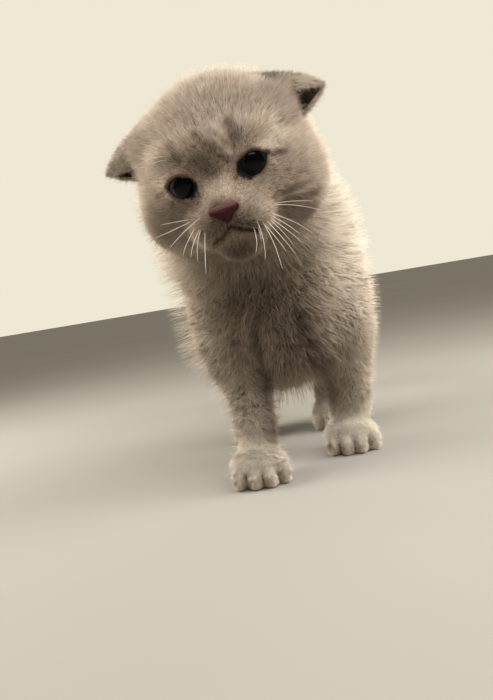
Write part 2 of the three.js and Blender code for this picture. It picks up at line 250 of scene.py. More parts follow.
def melted(a, b, soft):  # the nearer of two, with a soft seam between them
    h = np.maximum(soft - np.abs(a - b), 0) / soft
    return np.minimum(a, b) - h * h * soft / 4


def blend(soft, *fields):
    def field(points):
        depth = fields[0](points)
        for one in fields[1:]:
            depth = melted(depth, one(points), soft)
        return depth

    return field


def mirrored(field):
    return lambda points: field(points * (-1, 1, 1))


def both(field):
    return field, mirrored(field)


def smooth(low, high, value):
    t = np.clip((value - low) / (high - low), 0, 1)
    return t * t * (3 - 2 * t)


def bell(away, wide):
    return np.exp(-((away / wide) ** 2))


# The head in its own frame
lidBall = mass(eye["at"], [eye["radius"] + eye["lid"]] * 3)
muzzle = blend(
    6,
    mass((0, -23.5, -11), (12.4, 10.5, 8.6)),
    limb([(0, -20.5, 9, 6.2), (0, -23.6, 0.5, 5.2), (0, -29.4, -5, 4.1)]),
)
headForm = blend(
    3.2,
    blend(
        6,
        blend(
            3,
            blend(
                9,
                mass((0, 4, 4.5), (29.76, 29.5, 27.5)),
                *both(mass((15, -1.5, -7.8), (17.2, 20, 15.6))),
                mass((0, -7, -14.5), (20, 20, 13.2)),
                *both(mass((10, -17.5, 10.2), (8.5, 6.2, 4.4))),
            ),
            *both(lidBall),
        ),
        muzzle,
    ),
    *both(mass((5.7, -27.1, -12.2), (6.9, 6.9, 5.4), 0.25)),
    mass((0, -22.8, -20), (7.2, 7.7, 5.5)),
)
noseForm = blend(
    1.6,
    *both(mass((2.3, -32.8, -6.9), (2.3, 3.3, 1.45))),
    mass((0, -33, -8.1), (2.35, 3.4, 2.5)),
)

# The body, part by part
trunkForm = blend(
    9,
    mass((-3, 8, 62.5), (28, 26, 36)),
    mass((0, 32, 66), (31, 34, 38)),
    mass((3, 56, 63.5), (32.5, 34, 35.5)),
    mass((4, 76, 69), (27, 26, 32)),
    mass((-17, 9, 84), (17, 19, 20)),
    mass((13, 11, 84), (17, 19, 20)),
    mass((-5, -5, 71), (24, 16.5, 24)),
    mass((-25, 2, 62), (13.5, 17, 25)),
    mass((20.5, 10, 63), (14, 17, 26)),
    mass((-18, 69, 52), (14.5, 21, 24)),
    mass((24, 66, 52), (14.5, 21, 24)),
)
neckForm = blend(8, mass((-10, -17, 94), (29.5, 20, 24)), mass((-6, 0, 86), (33, 21, 25)),
                 mass((-9, -4, 98), (21, 20, 17)))
legs = {
    "foreleg_right": {
        "paw": (-20.3, -17.5),
        "size": (11.05, 12, 7.6),
        "heading": 0.05,
        "flesh": [(-23, 4, 60, 11), (-22.6, 4, 45, 12), (-20, -1, 31, 9.6),
                  (-18.9, -9, 17, 8.2), (-19.6, -13, 9, 8)],
    },
    "foreleg_left": {
        "paw": (17.3, 10.5),
        "size": (11.05, 12, 7.6),
        "heading": -0.05,
        "flesh": [(20, 11, 60, 12), (20.8, 13, 46, 13), (20.3, 14, 31, 10.7),
                  (19.2, 14.5, 17, 9.2), (17.8, 13, 9, 8.6)],
    },
    "hindleg_right": {
        "paw": (-21, 68),
        "size": (10.35, 13, 7.4),
        "heading": 0.08,
        "flesh": [(-17.5, 70, 50, 13), (-18.6, 62, 39, 12.4), (-19.6, 83, 27, 8.6),
                  (-20.4, 79, 14, 7.8), (-20.8, 72, 7.6, 7.6)],
    },
    "hindleg_left": {
        "paw": (17.2, 64),
        "size": (10.35, 13, 7.4),
        "heading": -0.08,
        "flesh": [(23, 66, 50, 13), (22.6, 58, 39, 12.4), (19, 79, 27, 8.6),
                  (17.8, 75, 14, 7.8), (17.3, 68, 7.6, 7.6)],
    },
}
tailKnots = [(4, 92, 82, 11), (5, 110, 77, 10.4), (6.5, 126, 66, 9.6), (9, 141, 51, 8.6),
             (12, 154, 40, 7.4), (15, 166, 34, 5.8), (17.5, 174, 33, 4)]


toeShape = {"radii": (3.3, 5.6, 4.6), "height": 3.7, "ahead": 9.9, "arc": 1.25, "apart": 0.66,
            "fan": 0.13, "cleft": 0.5}


def toesOf(leg):
    (x, y), size, heading = leg["paw"], leg["size"], leg["heading"]
    c, s = math.cos(heading), math.sin(heading)
    toes = []
    for k in (-1.5, -0.5, 0.5, 1.5):
        ahead = toeShape["ahead"] - toeShape["arc"] * k * k
        side = k * (size[0] - toeShape["radii"][0]) * toeShape["apart"]
        place = (x + c * side + s * ahead, y + s * side - c * ahead, toeShape["height"])
        toes.append(mass(place, toeShape["radii"], heading + toeShape["fan"] * k))
    return toes


def pawForm(leg):
    (x, y), size, heading = leg["paw"], leg["size"], leg["heading"]
    pad = mass((x, y, size[2] - 1.4), size, heading)
    return blend(3, blend(2.4, *toesOf(leg)), pad, limb(leg["flesh"][-2:]))


# Where a point lies in the cleft between two toes
def cleftShare(points):
    share = np.zeros(len(points))
    for leg in legs.values():
        beside = np.hypot(*(points[:, :2] - leg["paw"]).T) < 18
        near = np.flatnonzero((points[:, 2] < 10) & beside)
        if len(near):
            gaps = np.sort(np.stack([toe(points[near]) for toe in toesOf(leg)]), 0)
            ahead = smooth(6, 10, -(points[near] - (*leg["paw"], 0))[:, 1])
            ahead = ahead * (1 - smooth(3.6, 6.2, points[near, 2]))
            share[near] = (1 - smooth(0.1, 0.9, gaps[1] - gaps[0])) * ahead
    return share


# Each part of the body, how deep its coat is and how far its hairs stand up from the skin
bodyParts = {
    "head": {"form": lambda p: headForm(toHead(p)), "depth": 3.3, "lift": 58, "soft": 0},
    "neck": {"form": neckForm, "depth": 4.6, "lift": 68, "soft": 6},
    "torso": {"form": trunkForm, "depth": 4.4, "lift": 70, "soft": 14},
    "tail": {"form": limb(tailKnots), "depth": 3.4, "lift": 34, "soft": 8},
}
for legName, leg in legs.items():
    bodyParts[legName] = {"form": limb(leg["flesh"][:-1]), "depth": 3.2, "lift": 52, "soft": 8}
    bodyParts[legName + "_paw"] = {"form": pawForm(leg), "depth": 1.6, "lift": 46, "soft": 1}
partNames = list(bodyParts)
seamWidth = 2.2  # over which one part's coat passes into the next
shortened = {"face": 0.62, "bridge": 0.5, "lids": 0.6}  # the share of depth that these lose
sole = 0.02  # how far the skin stays over the floor


def partDepths(points):
    return np.stack([bodyParts[name]["form"](points) for name in partNames])


def sharesOf(depths):
    shares = np.exp(-(depths - depths.min(0)) / seamWidth)
    return shares / shares.sum(0)


# 1 round the middle of the face, where the coat is shortest, and 0 away from it
def faceShare(local):
    away = np.sqrt((((local - (0, -32, -6)) / (1.0, 1.0, 1.15)) ** 2).sum(1))
    return 1 - smooth(12, 30, away)


eyeTurns = {side: turned(eye["outward"] * side, eye["upward"], -eye["slant"] * side)
            for side in (1, -1)}


# How far out from the middle of an eye's opening: 1 on its edge, over 1 on the lids
opening = {"halfWidth": 4.2, "halfHeight": 3.3, "inner": 0.02, "outer": 0.16, "lower": 0.04}


def openingShare(local, side):
    d = (local - np.array(eye["at"]) * (side, 1, 1)) @ eyeTurns[side]
    far = np.sqrt((d**2).sum(1))
    reach = (eye["radius"] + 0.5) / far
    wide = side * d[:, 0] * reach / opening["halfWidth"]
    high = d[:, 2] * reach / opening["halfHeight"] + opening["lower"]
    turn = np.arctan2(high, wide)
    corner = (1 + opening["outer"] * bell(turn, 0.3)
              + opening["inner"] * bell(np.abs(turn + 0.12) - np.pi, 0.32))
    share = np.hypot(wide, high) / corner
    share = share + 0.15 * np.maximum(far - 8, 0)
    return np.where((d[:, 1] < 0) & (far < 20), share, 9.0), far


def nearestOpening(local):
    return np.minimum(openingShare(local, 1)[0], openingShare(local, -1)[0])


# The mouth: down from the nose and out to a drooping corner on each side
mouth = {"top": -11.9, "corner": (7.4, -16.4), "width": 0.95, "split": 0.45, "depth": 1.5,
         "front": -18}


def mouthShare(local):
    x, y, z = np.abs(local[:, 0]), local[:, 1], local[:, 2]
    along = np.clip(x / mouth["corner"][0], 0, 1)
    line = mouth["top"] + (mouth["corner"][1] - mouth["top"]) * along**0.85
    lips = bell(z - line, mouth["width"]) * (1 - smooth(6.6, 8.2, x))
    split = bell(x, mouth["split"]) * smooth(-13, -12, z) * (1 - smooth(-10.3, -9.5, z))
    return np.maximum(lips, 0.8 * split) * (y < mouth["front"])


# How deep the coat is: shorter on the face, its bridge and the lids, and none under the feet
def coatDepth(points, depths):
    shares = sharesOf(depths)
    deep = shares.T @ np.array([bodyParts[name]["depth"] for name in partNames])
    local = toHead(points)
    face = faceShare(local) * shares[0]
    deep = deep * (1 - shortened["face"] * face)
    bridge = np.exp(-((local - (0, -31, -2)) ** 2).sum(1) / 60)
    deep = deep * (1 - shortened["bridge"] * bridge * shares[0])
    lids = 1 - smooth(1.0, 1.9, nearestOpening(local))
    deep = deep * (1 - shortened["lids"] * lids * shares[0])
    return deep * smooth(-0.5, 4.0, points[:, 2])


def skinForm(points):
    depths = partDepths(points)
    whole = depths[0]
    for one, name in zip(depths[1:], partNames[1:]):
        whole = melted(whole, one, bodyParts[name]["soft"])
    form = whole + coatDepth(points, depths)
    return np.maximum(form, sole - points[:, 2])


def slopeOf(form, points, here, step=0.12):
    return np.stack([form(points + step * axis) - here for axis in np.eye(3)], 1) / step


def inLumps(form, points, size=60000):
    return np.concatenate([form(points[i : i + size]) for i in range(0, len(points), size)])


# A form's surface as one closed mesh: a coarse look finds where it passes, a fine one its points
def contour(form, low, high, step):
    block = 4
    low = np.array(low, float)
    counts = np.ceil((np.array(high) - low) / (step * block)).astype(int)
    lattice = np.stack(np.meshgrid(*[np.arange(n) for n in counts], indexing="ij"), -1)
    middles = low + (lattice.reshape(-1, 3) * block + (block - 1) / 2) * step
    coarse = inLumps(form, middles).reshape(counts)
    grid = coarse
    for axis in range(3):
        grid = np.repeat(grid, block, axis)
    near = np.abs(grid) < block * step * 1.6
    places = np.argwhere(near)
    grid[near] = inLumps(form, low + places * step)
    volume = openvdb.FloatGrid(5.0)
    volume.copyFromArray(grid.astype(np.float32))
    points, quads = volume.convertToQuads(0.0)
    return low + np.asarray(points, float) * step, np.asarray(quads)


def refine(mesh, wanted):
    work = bmesh.new()
    work.from_mesh(mesh)
    middles = np.array([face.calc_center_median() for face in work.faces])
    work.faces.ensure_lookup_table()
    picked = np.flatnonzero(wanted(middles))
    edges = {edge for i in picked for edge in work.faces[i].edges}
    bmesh.ops.subdivide_edges(work, edges=list(edges), cuts=1, use_grid_fill=True)
    work.to_mesh(mesh)
    work.free()


def coordinates(mesh):
    flat = np.empty(len(mesh.vertices) * 3, np.float32)
    mesh.vertices.foreach_get("co", flat)
    return flat.reshape(-1, 3).astype(float)


# Moves the wanted points onto the form's surface
def settle(mesh, form, wanted, times=2):
    points = coordinates(mesh)
    picked = np.flatnonzero(wanted(points))
    for _ in range(times):
        here = points[picked]
        height = form(here)
        slope = slopeOf(form, here, height)
        steep = np.maximum((slope**2).sum(1), 0.2)
        points[picked] = here - (height / steep)[:, None] * slope
    mesh.vertices.foreach_set("co", points.astype(np.float32).ravel())
    mesh.update()


# Slow, uneven waves through space, mostly between -1 and 1
def waves(points, scale, seed):
    draw = np.random.default_rng(seed)
    total = np.zeros(len(points))
    for _ in range(5):
        way = draw.normal(size=3)
        along = points @ (way / np.linalg.norm(way)) / scale * 2 * np.pi
        total += np.sin(along * draw.uniform(0.6, 1.5) + draw.uniform(0, 6.28))
    return total / 2.5


# Masks of the markings, in the head's frame and over the body: darker and paler places. Besides
# the coat's own marks they hold painted shade under the jaw, cheeks and whisker pads, on the
# throat and chest and in the toe clefts, and painted light on the flanks and one forepaw
def stroke(local, a, b, wide, soft):
    flat = np.array((1, 0.45, 1))
    a, b = np.array(a) * flat, np.array(b) * flat
    bone = b - a
    d = local * flat - a
    t = np.clip(d @ bone / (bone @ bone), 0, 1)
    away = np.sqrt(((d - t[:, None] * bone) ** 2).sum(1))
    return 1 - smooth(wide * (1 - soft), wide * (1 + soft), away)


def marked(places, strokes, soft):
    share = np.zeros(len(places))
    for a, b, wide, strength in strokes:
        share = np.maximum(share, stroke(places, a, b, wide, soft) * strength)
    return share


# Dark strokes on the head: the fur's own dark marks, and painted shade where noted below
darkMarksAndShade = [  # on the head: from, to, half width, strength
    ((7.7, -18.9, 14.6), (8.8, -21.6, 11.3), 2.1, 0.95),  # over the left eye
    ((8.8, -21.8, 10.9), (7.5, -22.8, 7.4), 1.3, 0.45),
    ((-11.3, -15.6, 16.3), (-10.3, -18.6, 13.2), 1.4, 0.4),  # over the right eye
    ((-10.3, -18.6, 13.2), (-9.2, -21.6, 10.1), 1.9, 0.85),
    ((-2.2, -21.0, 14.6), (1.3, -25.2, 9.4), 1.6, 0.9),  # between the eyes
    ((1.3, -25.2, 9.4), (4.7, -24.9, 5.2), 1.4, 0.9),
    ((2.1, -24.2, 11.1), (4.9, -24.6, 5.7), 1.2, 0.95),
    ((-3.1, -25.0, 7.9), (-0.2, -26.6, 4.7), 3.4, 0.72),
    ((-7.1, -23.1, 6.5), (-3.1, -25.0, 7.9), 2.4, 0.55),
    ((16.4, -20.8, 3.1), (20.4, -16.0, 1.3), 1.15, 1.0),  # outwards from the eyes
    ((-16.4, -20.0, 2.1), (-20.9, -15.2, 0.9), 1.1, 0.6),
    ((10.0, -22.4, 6.9), (13.3, -21.6, 6.0), 0.7, 0.75),
    ((13.3, -21.6, 6.0), (16.2, -20.8, 3.4), 0.7, 0.75),
    ((6.9, -25.2, 0.8), (5.4, -26.0, -0.1), 0.9, 0.85),  # inwards from the eyes
    ((-6.7, -25.3, -1.0), (-8.0, -25.0, -2.6), 0.95, 0.85),
    ((14.5, -23.4, -9.6), (18.5, -20.6, -9.4), 1.2, 0.75),  # the cheeks
    ((18.5, -20.6, -9.4), (22.2, -17.8, -9.4), 1.5, 0.8),
    ((22.2, -17.8, -9.4), (25.6, -15.4, -9.0), 1.2, 0.5),
    ((15.1, -22.6, -12.4), (25.8, -14.0, -13.4), 1.7, 0.95),
    # painted shade under the left cheek and jaw
    ((16.5, -19.6, -15.4), (21.5, -12.0, -19.5), 3.6, 1.0),
    ((20.0, -12.5, -17.5), (15.1, -14.0, -22.0), 4.4, 0.9),
    ((15.1, -14.0, -21.0), (10.5, -14.2, -24.2), 4.6, 0.8),
    # broad painted shade over the left cheek and both halves of the muzzle
    ((24.0, -14.0, -1.0), (17.0, -20.0, -5.0), 8.0, 0.3),
    ((4.0, -31.0, -8.5), (13.0, -24.0, -9.0), 6.0, 0.34),
    ((-4.0, -31.0, -8.5), (-13.0, -24.0, -9.0), 6.0, 0.42),
    ((-17.6, -21.0, -9.0), (-24.0, -15.0, -10.0), 1.4, 0.4),
    # broad painted shade over the right cheek
    ((-14.0, -24.0, -6.0), (-22.0, -14.0, -8.0), 7.5, 0.6),
    ((14.0, -16.0, 19.0), (21.0, -11.0, 14.0), 4.5, 0.35),
    # painted shade under the right cheek and jaw
    ((-17.6, -19.0, -15.3), (-12.0, -15.0, -22.0), 4.0, 0.55),
    # painted shade under the whisker pads, over the lip
    ((1.0, -33.6, -11.0), (5.9, -32.1, -13.1), 1.2, 0.75),  # under the whisker pads
    ((5.9, -32.1, -13.1), (8.4, -29.2, -15.6), 1.3, 0.75),
    ((-0.8, -33.8, -10.9), (-5.0, -32.6, -13.0), 1.2, 0.75),
    ((-4.0, -18.0, 14.0), (4.0, -18.0, 14.0), 16.0, 0.14),  # the forehead
    ((22.0, -9.0, 19.0), (25.0, -9.0, 12.0), 5.0, 0.5),  # before the ears
    ((-23.0, -9.0, 18.0), (-25.0, -9.0, 13.0), 4.5, 0.3),
    # painted shade on and under the chin, which lies in the head's shadow
    ((-3.4, -30.6, -18.0), (3.6, -29.0, -20.5), 5.2, 0.5),  # the chin
    ((-3.0, -24.0, -26.0), (3.0, -24.0, -26.0), 5.5, 0.6),
]
padDots = [(7.6, -28.0, -6.9), (9.3, -29.4, -9.6), (5.7, -30.6, -7.8), (7.7, -30.4, -9.1),
           (3.9, -32.0, -8.5), (4.8, -32.4, -10.1), (9.6, -30.4, -12.0), (11.8, -27.2, -8.6),
           (7.0, -31.6, -11.2)]
darkMarksAndShade += [((side * x, y, z), (side * x, y, z - 0.1), 0.5, 0.4)
                for x, y, z in padDots for side in (1, -1)]
paleStrokes = [  # on the head
    ((-1.0, -20.0, 15.7), (2.9, -23.9, 11.9), 0.9, 0.9),
    ((2.9, -23.9, 11.9), (6.0, -24.0, 7.3), 1.0, 1.0),
    ((3.9, -19.8, 15.2), (6.2, -21.6, 12.1), 1.3, 0.8),
    ((0, -31.5, -3.6), (0, -29.5, 1.0), 3.2, 0.35),
    ((8.5, -29.5, -12.0), (12.0, -27.0, -11.0), 1.6, 0.4),
    ((8.0, -26.5, -3.4), (17.0, -22.0, -4.0), 1.5, 0.4),
    ((17.0, -20.0, 6.0), (24.0, -12.0, 6.0), 2.5, 0.35),
]
# Darker chest fur, and painted shade in the creases by the forelegs and down their inner sides
chestDarkAndShade = [  # dark ones on the body
    ((-14.1, -15.5, 52.5), (-12.7, -8.5, 38.5), 1.9, 1.1),
    ((-10.6, -20.5, 61.0), (-13.0, -17.0, 54.0), 2.4, 0.7),
    ((2.6, -18.0, 56.0), (4.6, -14.0, 47.0), 3.4, 0.85),
    ((5.6, -12.0, 44.7), (7.2, -4.0, 36.0), 4.2, 0.95),
    ((9.5, 0.0, 38.0), (8.5, 6.0, 20.0), 4.4, 0.85),
    ((-13.0, -8.0, 36.0), (-12.5, -15.0, 15.0), 3.8, 0.85),
    ((-20.0, -16.0, 55.0), (-22.0, -12.5, 47.0), 1.8, 0.4),
]


bodyPatches = {  # middle, reach each way and strength
    # painted light on the left shoulder and flank, partly paler fur there
    "flank": ((24, -2, 74), (17, 28, 36), 1.1),
    # painted light on the outer side of the right flank and foreleg
    "outer": ((-27, -10, 52), (8, 16, 30), 0.8),
    # painted light on the left forepaw, which lies in the body's shade
    "paw": ((18, 8, 5), (12, 16, 11), 0.6),
    # painted shade low on the chest, between the forelegs
    "inner": ((2, -10, 44), (12, 14, 18), 0.6),
    # painted shade on the throat under the head, over darker fur
    "throatShade": ((-13, -26, 70), (17, 16, 17), 0.75),
    # painted shade under the chin
    "underChinShade": ((0, -24, -28), (16, 16, 8), 0.9),  # in the head's frame
}
lid = {"bare": 1.04, "furred": 1.1, "dark": 1.18, "strength": 0.7}  # in shares of the opening
softEdge = {"dark": 0.6, "pale": 0.8, "chest": 0.8}  # of the strokes, in shares of their width


def patchShare(points, name):
    middle, reach, strength = bodyPatches[name]
    return np.exp(-(((points - middle) / reach) ** 2).sum(1)) * strength


def markings(points, onHead):
    local = toHead(points)
    dark = marked(local, darkMarksAndShade, softEdge["dark"])
    pale = marked(local, paleStrokes, softEdge["pale"])
    share = nearestOpening(local)
    nearLid = 1 - smooth(lid["bare"], lid["dark"], share)
    dark = np.maximum(dark, nearLid * lid["strength"])
    # painted shade under the jaw, on the underside of the head
    under = 0.9 * smooth(15.0, 21.5, -local[:, 2]) * (1 - smooth(-6, 6, local[:, 1]))
    dark = np.maximum(dark, under)
    wander = 0.9 + 0.22 * waves(points, 2.6, 5) ** 2
    dark = np.maximum(dark * wander, mouthShare(local))
    dark = np.clip(dark, 0, 1) * onHead
    pale = np.maximum(pale, 0.3 * smooth(-8, 12, local[:, 1])) * onHead * (1 - dark)
    onBody = 1 - onHead
    flank, outer, paw, inner, throatShade = (patchShare(points, name) for name in
                                        ("flank", "outer", "paw", "inner", "throatShade"))
    # the chest's dark strokes, darker fur with painted shade, and painted shade under the chin
    chest = marked(points, chestDarkAndShade, softEdge["chest"])
    chest = np.maximum(chest, patchShare(local, "underChinShade"))
    # painted shade on the throat, low on the chest and in the toe clefts
    shaded = np.maximum(throatShade + inner * (1 - throatShade), cleftShare(points) * 0.95)
    chest = np.clip(np.maximum(chest * wander, shaded), 0, 1)
    socks = 1 - smooth(4, 30, points[:, 2])
    # painted light on the flanks and the left forepaw, with the paws' own paler socks and the body
    # paler overall
    light = np.maximum(np.maximum(0.3, outer), np.maximum(flank, socks))
    light = (light + paw) * (1 - chest) * onBody
    return dark + chest * onBody, pale + light


print("skin: finding its surface")
skinBox = {"low": (-57, -77, -3), "high": (51, 181, 144), "step": 1.0}
points, quads = contour(skinForm, *skinBox.values())
skinData = bpy.data.meshes.new("skin")
skinData.from_pydata(points.tolist(), [], quads.tolist())


finer = {"nearHead": 6, "headBack": 4, "mouthAt": (0, -30, -13), "nearMouth": 12, "lids": 2.0,
         "rims": (0.8, 1.35), "paws": 13}


def aroundHead(points):
    local = toHead(points)
    return (np.abs(headForm(local)) < finer["nearHead"]) & (local[:, 1] < finer["headBack"])


def aroundFace(points):
    local = toHead(points)
    away = np.sqrt(((local - finer["mouthAt"]) ** 2).sum(1))
    nearMouth = (away < finer["nearMouth"]) & (local[:, 1] < mouth["front"])
    return (nearestOpening(local) < finer["lids"]) | nearMouth


def aroundEyes(points):
    share = nearestOpening(toHead(points))
    return (share > finer["rims"][0]) & (share < finer["rims"][1])


def aroundPaws(points):
    return points[:, 2] < finer["paws"]


print("skin: making it finer round the head, face, eyes and paws")
refine(skinData, aroundHead)
refine(skinData, lambda p: aroundFace(p) | aroundPaws(p))
refine(skinData, aroundEyes)


def facedForm(points):
    local = toHead(points)
    return (skinForm(points) + mouth["depth"] * mouthShare(local)
            + toeShape["cleft"] * cleftShare(points))


print("skin: settling it on its form")
settle(skinData, facedForm, lambda p: aroundHead(p) | aroundPaws(p))


# Sink the eye wells under the eyeballs, and round the lids up from them
def sinkEyes(mesh):
    points = coordinates(mesh)
    local = toHead(points)
    for side in (1, -1):
        share, far = openingShare(local, side)
        middle = np.array(eye["at"]) * (side, 1, 1)
        under = eye["radius"] - eye["sunk"]
        rise = smooth(0.96, 1.16, share)
        wanted = np.where(share < 2, under + (far - under) * rise, far)
        local = middle + (local - middle) * (wanted / far)[:, None]
    mesh.vertices.foreach_set("co", fromHead(local).astype(np.float32).ravel())
    mesh.update()


sinkEyes(skinData)
print("skin:", len(skinData.vertices), "points")

# Ears: half cones that open forwards, the upper margin folded down over the front
ear = {"root": (15, 6, 14), "height": 11, "depth": 9, "thick": 1.9,
       "tip": {1: (37, -1.5, 15.6), -1: (37.8, -1.5, 11.8)}, "fold": {1: (34, 0), -1: (25, -35)},
       "lowerEdge": 292, "steps": (34, 44), "pale": 0.6}


def earFrame(side):
    root = np.array(ear["root"], float)
    tip = np.array(ear["tip"][side], float)
    out = (tip - root) / np.linalg.norm(tip - root)
    up = np.array((0, 0.1, 1)) - out * out[2]
    up /= np.linalg.norm(up)
    back = -np.cross(out, up)
    return root, tip, out, up, back / np.linalg.norm(back)


# A place on an ear: t runs from its root to its tip, share from the folded to the lower margin
def earPoint(side, t, share, inset):
    root, tip, out, up, back = earFrame(side)
    first, last = ear["fold"][side]
    folded = first + (last - first) * t**0.7
    angle = np.radians(folded + (ear["lowerEdge"] - folded) * share)
    full = np.where(np.sin(angle) < 0, 2.8, 1.7)
    narrow = 1 - 0.12 * np.sin(np.pi * t)
    taper = (1 - 0.93 * t**1.7) * narrow
    rim = np.minimum(1, np.minimum(4 * share, 4 * (1 - share)))
    wall = inset * ear["thick"] * (0.45 + 0.55 * rim) * (1 - 0.45 * t)
    high = np.maximum(ear["height"] * (1 - 0.93 * t**full) * narrow - wall, 0.3)
    deep = np.maximum(ear["depth"] * taper - wall, 0.25)
    ripple = 0.25 * np.sin(9 * share + 5 * t) * np.sin(np.pi * share) * (1 - t)
    point = (root + (tip - root) * t[:, None] + out * (inset * -0.9 * t)[:, None]
             + up * (high * np.sin(angle) + 1.2 * np.sin(np.pi * t) + ripple)[:, None]
             - back * (deep * np.cos(angle))[:, None])
    return point * (side, 1, 1)


def earShell(side):
    along, around = ear["steps"]
    steps = (np.linspace(0, 1, along + 1), np.linspace(0, 1, around + 1))
    t, share = np.meshgrid(*steps, indexing="ij")
    layers = [earPoint(side, t.ravel(), share.ravel(), inset) for inset in (0.2, 0.8)]
    size = (along + 1) * (around + 1)
    index = np.arange(2 * size).reshape(2, along + 1, around + 1)

    def band(a, b):  # quads between two rows of points
        return np.stack([a[:-1], a[1:], b[1:], b[:-1]], 1)

    faces = []
    for i in range(along):
        faces += [band(index[0, i], index[0, i + 1]), band(index[1, i + 1], index[1, i])]
    faces += [band(index[1, :, 0], index[0, :, 0]), band(index[0, :, -1], index[1, :, -1])]
    faces += [band(index[1, 0], index[0, 0]), band(index[0, -1], index[1, -1])]
    quads = np.concatenate(faces)[:, ::-1] if side > 0 else np.concatenate(faces)
    return np.concatenate(layers), quads


earMeshes = {side: earShell(side) for side in (1, -1)}


def halved(quads):  # each quad as two triangles
    return np.concatenate([quads[:, [0, 1, 2]], quads[:, [0, 2, 3]]])


def trianglesOf(mesh):
    mesh.calc_loop_triangles()
    flat = np.empty(len(mesh.loop_triangles) * 3, np.int32)
    mesh.loop_triangles.foreach_get("vertices", flat)
    return flat.reshape(-1, 3)


def makeMesh(name, points, faces, material, attributes=None, normals=None):
    faces = np.asarray(faces)
    mesh = bpy.data.meshes.new(name)
    mesh.vertices.add(len(points))
    mesh.vertices.foreach_set("co", toWorld(points).astype(np.float32).ravel())
    mesh.loops.add(faces.size)
    mesh.loops.foreach_set("vertex_index", faces.astype(np.int32).ravel())
    mesh.polygons.add(len(faces))
    starts = np.arange(0, faces.size, faces.shape[1], dtype=np.int32)
    mesh.polygons.foreach_set("loop_start", starts)
    mesh.update(calc_edges=True)
    mesh.polygons.foreach_set("use_smooth", np.ones(len(faces), bool))
    for key, values in (attributes or {}).items():
        values = np.asarray(values, np.float32)
        kind, field = ("FLOAT", "value") if values.ndim == 1 else ("FLOAT_VECTOR", "vector")
        mesh.attributes.new(key, kind, "POINT").data.foreach_set(field, values.ravel())
    if normals is not None:
        mesh.normals_split_custom_set_from_vertices(normals)
    mesh.materials.append(material)
    piece = bpy.data.objects.new(name, mesh)
    bpy.context.scene.collection.objects.link(piece)
    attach(piece, "root")
    return piece


# The finish of skin and coat: one set of colours, so that the markings run through both. The dark
# colour serves the fur's dark marks and painted shade alike, and the dark root colour is partly
# painted shade deep in the coat
furColours = {
    "root": paint(94, 68, 49),
    "tip": paint(207, 191, 171),
    "warm": paint(176, 142, 111),
    "dark": paint(64, 46, 36),
    "pale": paint(240, 227, 206),
    "rim": paint(15, 11, 10),
}
furLook = {"sheen": 0.06, "broadScale": 0.06, "fineScale": 0.3, "skinScale": 2.5, "warm": 0.3,
           "smoky": 0.22, "pale": 0.62}


def furFinish(name, isCoat):
    finish = Finish(name, Roughness=0.6, Sheen_Roughness=0.35,
                    Sheen_Weight=furLook["sheen"] if isCoat else 0.0,
                    Sheen_Tint=paint(250, 240, 226), Specular_IOR_Level=0.3)
    home = finish.attribute("home", "Vector")
    broad = finish.noise(home, furLook["broadScale"], 3.0)
    fine = finish.noise(home, furLook["fineScale"], 3.0)
    if isCoat:
        along = finish.attribute("along")
        shade = finish.attribute("shade")
        light = finish.between(along, 0.0, 0.9) * 0.72 + 0.28 * fine
    else:
        shade = finish.noise(home, furLook["skinScale"], 3.0)
        # the skin under the coat is painted near the dark root colour: painted shade in the gaps
        # between the tufts
        light = 0.1 + 0.25 * fine
    base = finish.mixed(light, furColours["root"], furColours["tip"])
    warm = finish.between(fine, 0.4, 0.65) * furLook["warm"]
    base = finish.mixed(warm, base, furColours["warm"])
    smoky = finish.between(broad, 0.38, 0.66) * furLook["smoky"]
    base = finish.mixed(smoky, base, furColours["dark"])
    dark = finish.attribute("dark")
    pale = finish.attribute("pale")
    base = finish.mixed(pale * furLook["pale"], base, furColours["pale"])
    base = finish.mixed(dark * (1.0 - 0.25 * light), base, furColours["dark"])
    colour = finish.brightened(base, 0.64 + 0.66 * shade)
    if not isCoat:
        bare = finish.attribute("bare")
        colour = finish.mixed(bare, colour, furColours["rim"])
        finish.bump(finish.noise(home, 3.0, 3.0), 0.5, 0.0004)
        finish.surface(Roughness=0.8 - 0.1 * bare)
    finish.surface(Base_Color=colour)
    return finish.material


skinFinish = furFinish("skin_fur", False)
coatFinish = furFinish("coat_fur", True)

skinPoints = coordinates(skinData)
skinFaces = trianglesOf(skinData)
skinShares = inLumps(lambda p: sharesOf(partDepths(p)).T, skinPoints)


def makeSkin():
    points = [skinPoints]
    faces = [skinFaces]
    start = len(skinPoints)
    for side in (1, -1):
        local, quads = earMeshes[side]
        points.append(fromHead(local))
        faces.append(halved(quads) + start)
        start += len(local)
    points = np.concatenate(points)
    onHead = np.concatenate([skinShares[:, 0], np.ones(start - len(skinPoints))])
    dark, pale = markings(points, onHead)
    # the ears' skin is painted pale: painted light in the shaded hollow of each ear
    pale[len(skinPoints):] = ear["pale"]
    local = toHead(points)
    lids = 1 - smooth(lid["bare"], lid["furred"], nearestOpening(local))
    bare = lids * (np.arange(start) < len(skinPoints))
    bare = np.maximum(bare, mouthShare(local) * 0.7)
    attributes = {"home": points, "dark": dark, "pale": pale, "bare": bare}
    piece = makeMesh("skin", points, np.concatenate(faces), skinFinish, attributes)
    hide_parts(*[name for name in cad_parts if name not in
                         ("eye_left", "eye_right", "nose")])


makeSkin()
print("skin: made, with the ears")

# Eyes: a ball with a low dome over the iris, a wide pupil and a thin slate-grey ring of iris
iris = {"pupil": 3.05, "ring": 3.9, "edge": 4.7, "aside": 0.6, "reach": 8.0}
dome = {"height": 0.35, "width": 0.62, "rings": 64, "turns": 96}


